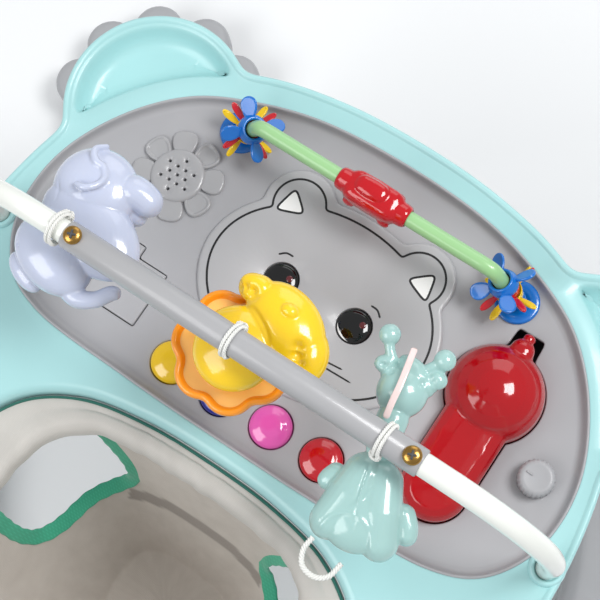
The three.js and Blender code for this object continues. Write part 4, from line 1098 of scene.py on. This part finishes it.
AROUND, DOWN, GIRTH = 264, 58, 0.81
SEAM_LOW, SEAM_SAG, SEAM_HALF, SEAM_BACK, SEAM_WIDE = -121, 0.0022, 9.5, 258, 66
turn = (np.arange(AROUND) * 2 * np.pi / AROUND + np.pi / 2)[None]
depth = np.linspace(0, 1, DOWN)[:, None]
wall_height = CLOTH_TOP - CLOTH_DEEP * depth
share = np.vstack([narrowing(wall_height), np.linspace(narrowing(wall_height[-1])[0], 0.004, 16)[1:, None]])
heights = np.vstack([wall_height, wall_height[-1] - 3 * np.sin(np.linspace(0, np.pi / 2, 16))[1:, None]])
rows = np.stack([share * hoop_reach(turn) * np.cos(turn),
                 SEAT_MID[1] + share * hoop_reach(turn) * np.sin(turn), heights + 0 * turn], -1)
spots = rows.reshape(-1, 3)
down, across = np.mgrid[0:len(share) - 1, 0:AROUND]
corner, beside = down * AROUND + across, down * AROUND + (across + 1) % AROUND
quads = np.stack([corner, beside, beside + AROUND, corner + AROUND], -1).reshape(-1, 4)
middles = spots[quads].mean(axis=1)
offset = np.column_stack([np.abs(middles[:, 0]), middles[:, 1]]) - HOLE_AT
ahead = offset @ (np.cos(HOLE_AIM), np.sin(HOLE_AIM))
aside = np.abs(offset @ (-np.sin(HOLE_AIM), np.cos(HOLE_AIM))) / HOLE_HALF
below = np.clip(HOLE_LOW[0] - middles[:, 2], 0, None) / HOLE_LOW[1]
gone = (aside ** HOLE_POWER + below ** HOLE_POWER < 1) & (ahead > 0) & (middles[:, 2] < CLOTH_TOP - 1)
kept, lost = quads[~gone], quads[gone]
border = np.intersect1d(kept, lost)
both_edges = np.vstack([hole_edge, hole_edge * (-1, 1, 1)])
nearest = np.argmin(np.linalg.norm(spots[border][:, None] - both_edges[None], axis=2), axis=1)
spots[border] = both_edges[nearest]

cloth_data = bpy.data.meshes.new("seat_cloth")
used, kept_index = np.unique(kept, return_inverse=True)
cloth_data.from_pydata((spots[used] * MM + np.array(PLAY)).tolist(), [],
                       kept_index.reshape(-1, 4)[:, ::-1].tolist())
weave_at = cloth_data.uv_layers.new(name="weave")
slide = np.tile(np.arange(AROUND) * GIRTH / AROUND, len(share))
run_down = np.append(0, np.cumsum(np.linalg.norm(np.diff(rows[:, 0], axis=0), axis=1))) * MM
laid_out = np.column_stack([slide, np.repeat(run_down, AROUND)])[kept][:, ::-1]
across_seam = laid_out[..., 0].max(axis=1, keepdims=True) - laid_out[..., 0] > GIRTH / 2
laid_out[..., 0] += GIRTH * across_seam
weave_at.data.foreach_set("uv", laid_out.ravel())
band = cloth_data.attributes.new("seam_band", "FLOAT", "POINT")
x, y, z = spots[used].T
from_band = np.abs(z - SEAM_LOW + SEAM_SAG * x ** 2)
in_band = np.clip((SEAM_HALF - from_band) / 1.2, 0, 1) * (y < SEAM_BACK) * (np.abs(x) < SEAM_WIDE)
band.data.foreach_set("value", in_band)
cloth_data.polygons.foreach_set("use_smooth", np.ones(len(cloth_data.polygons), bool))
seat_cloth = bpy.data.objects.new("seat_cloth", cloth_data)
bpy.context.collection.objects.link(seat_cloth)


# Twill: fine slanted ribs, a fainter cross thread and a slow change of tone, all in metres.
twill, given, out = effect("twill", {"Place": "Vector", "Dark": "Color", "Light": "Color", "Pitch": "Float"},
                           {"Colour": "Color", "Height": "Float"})
parts = wire(twill, "SeparateXYZ", {"Vector": given["Place"]})
slant = wire(twill, "Math", {0: parts.outputs["X"], 1: parts.outputs["Y"]}, operation="ADD")
turns = wire(twill, "Math", {0: slant.outputs[0], 1: given["Pitch"]}, operation="DIVIDE")
rib = wire(twill, "Math", {0: turns.outputs[0], 1: 1.0}, operation="PINGPONG")
cross = wire(twill, "Math", {0: parts.outputs["Y"], 1: given["Pitch"]}, operation="DIVIDE")
thread = wire(twill, "Math", {0: cross.outputs[0], 1: 0.7}, operation="PINGPONG")
both = wire(twill, "Math", {0: rib.outputs[0], 1: thread.outputs[0]}, operation="MULTIPLY")
tone = wire(twill, "TexNoise", {"Vector": given["Place"], "Scale": 45.0, "Detail": 4.0})
uneven = wire(twill, "Math", {0: both.outputs[0], 1: tone.outputs["Fac"]}, operation="ADD")
share_light = wire(twill, "Math", {0: uneven.outputs[0], 1: 0.55}, operation="MULTIPLY", use_clamp=True)
thread_colour = wire(twill, "MixRGB", {"Fac": share_light.outputs[0], "Color1": given["Dark"],
                                       "Color2": given["Light"]})
twill.links.new(thread_colour.outputs[0], out["Colour"])
twill.links.new(both.outputs[0], out["Height"])


def woven(name, dark, light, pitch, place="UV", rough=0.9, sheen=0.25):
    """Cloth: the twill effect on its own UV or on the piece, matt, with a little sheen."""
    material = bpy.data.materials.new(name)
    material.use_nodes = True
    tree = material.node_tree
    shader = tree.nodes["Principled BSDF"]
    cloth = wire(tree, "Group", {}, node_tree=twill)
    where = wire(tree, "TexCoord")
    tree.links.new(where.outputs[place], cloth.inputs["Place"])
    cloth.inputs["Dark"].default_value, cloth.inputs["Light"].default_value = srgb(dark), srgb(light)
    cloth.inputs["Pitch"].default_value = pitch
    tree.links.new(cloth.outputs["Colour"], shader.inputs["Base Color"])
    tree.links.new(wire(tree, "Bump", {"Height": cloth.outputs["Height"], "Distance": 0.0002,
                                       "Strength": 0.6}).outputs["Normal"], shader.inputs["Normal"])
    shader.inputs["Roughness"].default_value = rough
    shader.inputs["Sheen Weight"].default_value = sheen
    return material


gray_twill = woven("seat_twill", "b3aaa1", "dad3cb", 0.0009)
gray_tree = gray_twill.node_tree
gray_shader = gray_tree.nodes["Principled BSDF"]
seam_mask = wire(gray_tree, "Attribute", {}, attribute_name="seam_band")
dim = wire(gray_tree, "MixRGB", {"Color2": srgb("948b84")})
gray_tree.links.new(seam_mask.outputs["Fac"], dim.inputs["Fac"])
gray_tree.links.new(gray_shader.inputs["Base Color"].links[0].from_socket, dim.inputs["Color1"])
gray_tree.links.new(dim.outputs[0], gray_shader.inputs["Base Color"])
cloth_data.materials.append(gray_twill)

held = seat_cloth.vertex_groups.new(name="held")
fast = np.isin(used, border) | (used < AROUND)
held.add(np.flatnonzero(fast).tolist(), 1.0, "REPLACE")
drape = seat_cloth.modifiers.new("drape", "CLOTH")
drape.settings.quality = 6
drape.settings.mass = 0.25
drape.settings.tension_stiffness = drape.settings.compression_stiffness = 20
drape.settings.shear_stiffness = 6
drape.settings.bending_stiffness = 0.35
drape.settings.shrink_min = -CLOTH_EASE
drape.settings.vertex_group_mass = "held"
drape.settings.pin_stiffness = 1
drape.collision_settings.use_collision = False
drape.point_cache.frame_start, drape.point_cache.frame_end = 1, SAG_FRAMES
for step in range(1, SAG_FRAMES + 1):
    bpy.context.scene.frame_set(step)
    bpy.context.view_layer.update()
settled(seat_cloth)
bpy.context.scene.frame_set(1)
finer = seat_cloth.modifiers.new("finer", "SUBSURF")
finer.levels = finer.render_levels = 1
cloth_wall = seat_cloth.modifiers.new("cloth", "SOLIDIFY")
cloth_wall.thickness, cloth_wall.offset = 0.9 * MM, 0
fixed(seat_cloth, "tray", "seat_cloth", "seat_fabric")

towards = np.arange(720) * 2 * np.pi / 720
pleat = (0.5 * np.sin(23 * towards + 1.3 * np.sin(3 * towards))
         + 0.35 * np.sin(41 * towards + 2 * np.sin(5 * towards)) + 0.3 * np.sin(9 * towards + 1))
hoop_r, edge_r = hoop_reach(towards), opening_reach(towards)
# (from the opening's edge 0 to the hoop 1, how far out of it, height, share of the pleats)
BAND = [(0, -1.8, -11, 0), (0, -1.7, -4.5, 0.2), (0, -3.6, -1.9, 0.4), (0.5, -1, -1.6, 1), (1, 4, 0.3, 1),
        (1, -2, 0.9, 0.8), (1, -7, -2, 0.7), (1, -9.2, -7, 0.9), (1, -9.6, -12, 1.1), (1, -6.5, -17.5, 0.7),
        (1, -2.5, -21, 0.3)]
band_rows = []
for blend, out, height, wave in BAND:
    reach = edge_r + (hoop_r - edge_r) * blend + out - 0.9 * wave * pleat * (blend == 1)
    band_rows.append(np.column_stack([reach * np.cos(towards), SEAT_MID[1] + reach * np.sin(towards),
                                      height + 0.8 * wave * pleat]))
band_rows = smooth_line(np.stack(band_rows).reshape(len(BAND), -1), 5, False).reshape(-1, 720, 3)
rim_band = Moulding(PLAY)
rim_band.grid(band_rows, flip=True)
satin = woven("band_satin", "b4b0aa", "d6d3cd", 0.0007, "Object", 0.55, 0.4)
seat_band = rim_band.mesh("seat_rim_band", satin)
thick = seat_band.modifiers.new("cloth", "SOLIDIFY")
thick.thickness, thick.offset = 0.8 * MM, -1
fixed(seat_band, "tray", "seat_cloth")
green_tape = woven("green_tape", "2f9273", "4fc29c", 0.0016, "Object", 0.85, 0.3)
piping = Moulding(PLAY)
piping_r = edge_r[::4] - 2.6
limb(piping, np.column_stack([piping_r * np.cos(towards[::4]), SEAT_MID[1] + piping_r * np.sin(towards[::4]),
                              np.full(180, -1.2)]), (1.2, 1.2), closed=True, count=14)
dark_green = woven("dark_green_piping", "1f5a4e", "35776b", 0.0012, "Object")
seat_piping = fixed(piping.mesh("seat_piping", dark_green), "tray", "seat_cloth")

TAPE_HALF, TAPE_THIN = 6.3, 1.5
for side, name in ((1, "left"), (-1, "right")):
    tape_line = smooth_line(hole_edge[::6] * (side, 1, 1), 6, False)
    outward = np.column_stack([tape_line[:, :2] - SEAT_MID, np.full(len(tape_line), 0.0)])
    outward /= np.linalg.norm(outward, axis=1)[:, None]
    outward[:, 2] = -2.5 * np.exp(-((tape_line[:, 2] - tape_line[:, 2].min()) / 28) ** 2)
    wide, thin = framed(tape_line, outward)
    thin /= np.linalg.norm(thin, axis=1)[:, None]
    round_tape = (np.arange(20) * 2 * np.pi / 20)[None, :, None]
    flat_x, flat_y = np.cos(round_tape), np.sin(round_tape)
    box = (flat_x ** 4 + flat_y ** 4) ** -0.25
    rumple = 1 + 0.05 * np.sin(np.arange(len(tape_line)) * 0.55)[:, None, None]
    tape = Moulding(PLAY)
    tape_rows = tape_line[:, None] + box * (TAPE_HALF * rumple * flat_x * wide[:, None]
                                            + TAPE_THIN * flat_y * thin[:, None])
    tape.grid(tape_rows)
    for end in (tape_rows[0][::-1], tape_rows[-1]):
        tape.add(end, [list(range(20))])
    fixed(tape.mesh(f"leg_hole_tape_{name}", green_tape, solid=True), "tray", "seat_cloth")
finish("seat_hoop", moulded("hoop_gray", "5b5f63", 0.4))


# Base and legs -----------------------------------------------------------------------------------
# The floor ring with three scalloped paws, one gray moulding with fused edges; a rubber pad, a
# white post, a coil spring and a white sleeve at each leg. All under the tray.
RING_R, RING_Y, PAW_R, TOE_R, LOW, HIGH = 324, -26, 88, 27, 14, 58
PAWS = [(-335, -310, -2.15), (335, -310, -0.99), (0, 310, np.pi / 2)]
POST_R, POST_TOP, SLEEVE_IN, SLEEVE_OUT, SLEEVE_LOW, SLEEVE_TOP = 14.5, 290, 15.5, 18.5, 190, 408
COIL_R, COIL_WIRE, COIL_TURNS, COIL_LOW, COIL_HIGH = 11.5, 1.7, 6, 293, 405


def pad_side(radius, high, soften=6):
    """The side of an upright disc from the middle of its bottom to the middle of its top."""
    bend = np.linspace(0, np.pi / 2, 6)
    edge = [(radius - soften + soften * np.cos(a), high - soften + soften * np.sin(a)) for a in bend]
    return [(0, LOW), (radius, LOW)] + edge + [(0, high)]


base = Moulding()
ring_side = np.array([(RING_R - 27, LOW), (RING_R + 27, LOW), (RING_R + 27, 46), (RING_R + 24, 53),
                      (RING_R + 15, HIGH), (RING_R - 15, HIGH), (RING_R - 24, 53), (RING_R - 27, 46),
                      (RING_R - 27, LOW)], float)
base.turned(ring_side, (0, RING_Y), 160)
for x, y, facing in PAWS:
    base.turned(pad_side(PAW_R, HIGH - 4, 9), (x, y), 96)
    for toe in range(-2, 3):
        angle = facing + toe * 0.61
        base.turned(pad_side(TOE_R, HIGH - 8, 9), (x + PAW_R * np.cos(angle), y + PAW_R * np.sin(angle)), 48)
    out = np.arctan2(y - RING_Y, x)
    toward = np.array([np.cos(out), np.sin(out)])
    start, stop = RING_R - 10, RING_R + 120
    arm_side = np.array([(-48, LOW), (48, LOW), (48, 44), (40, 51), (-40, 51), (-48, 44)], float)
    arm = [np.column_stack([reach * toward[0] - arm_side[:, 0] * toward[1],
                            RING_Y + reach * toward[1] + arm_side[:, 0] * toward[0], arm_side[:, 1]])
           for reach in (start, stop)]
    base.grid(np.stack(arm))
    base.add(arm[0], [list(range(6))[::-1]])
    base.add(arm[1], [list(range(6))])
for x, y in LEGS:
    base.turned([(0, LOW), (30, LOW), (30, 88), (28.6, 91), (26, 92), (0, 92)], (x, y), 64)
gray_base = moulded("base_gray", "a9aaad", 0.45, coat=0.1, cloud=0.03, bump=0.00003)
floor_base = fused(base.mesh("floor_base", gray_base), 3.2, 3)
for x, y in LEGS:
    bored(floor_base, Vector((x, y, 75)) * MM, 14.8, 70, np.eye(3), "socket_drill")
fixed(floor_base, "base", "base_gray", "base_frame")
rubber = moulded("rubber", "2e2f31", 0.8, bump=0.00005, grain=900)
leg_white = moulded("leg_white", "e9ebe8", 0.3, coat=0.3, cloud=0.02)
steel = moulded("spring_steel", "a3a6aa", 0.28, cloud=0.1)
steel.node_tree.nodes["Principled BSDF"].inputs["Metallic"].default_value = 1.0
for name in ("front_left", "front_right", "rear"):
    x, y, _ = sum(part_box(f"lower_post_{name}"), Vector()) / 2 / MM
    post = Moulding()
    post.turned([(0, 40.3), (POST_R, 40.3), (POST_R, POST_TOP - 2), (POST_R - 1.5, POST_TOP), (0, POST_TOP)],
                (x, y), 64)
    fixed(post.mesh(f"post_{name}", leg_white), "base", "white_plastic", f"lower_post_{name}")
    sleeve_tube = Moulding()
    sleeve_tube.turned([(SLEEVE_IN, SLEEVE_TOP), (SLEEVE_IN, SLEEVE_LOW + 1), (16, SLEEVE_LOW),
                        (18.4, SLEEVE_LOW), (19, SLEEVE_LOW + 1.5), (19, SLEEVE_LOW + 14),
                        (SLEEVE_OUT, SLEEVE_LOW + 16), (SLEEVE_OUT, SLEEVE_TOP + 3), (0, SLEEVE_TOP + 3),
                        (0, SLEEVE_TOP), (SLEEVE_IN, SLEEVE_TOP)], (x, y), 64)
    fixed(sleeve_tube.mesh(f"sleeve_{name}", leg_white), "tray", "white_plastic", f"upper_sleeve_{name}")
    winding = np.linspace(0, COIL_TURNS * 2 * np.pi, 61)
    spring = Moulding()
    limb(spring, np.column_stack([x + COIL_R * np.cos(winding), y + COIL_R * np.sin(winding),
                                  np.linspace(COIL_LOW, COIL_HIGH, len(winding))]),
         (COIL_WIRE, COIL_WIRE), count=12)
    coil = spring.mesh(f"coil_{name}", steel)
    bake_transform(coil)
    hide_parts(f"bounce_spring_{name}")
    pad_mid = sum(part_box(f"foot_pad_{name}"), Vector()) / 2 / MM
    foot = Moulding()
    foot.turned([(0, 0), (46, 0), (48, 2), (50, 2), (52, 0), (58, 0), (61, 1.5), (62, 4), (62, 13.6),
                 (0, 13.6)], (pad_mid.x, pad_mid.y), 96)
    fixed(foot.mesh(f"pad_{name}", rubber), "base", "rubber", f"foot_pad_{name}")
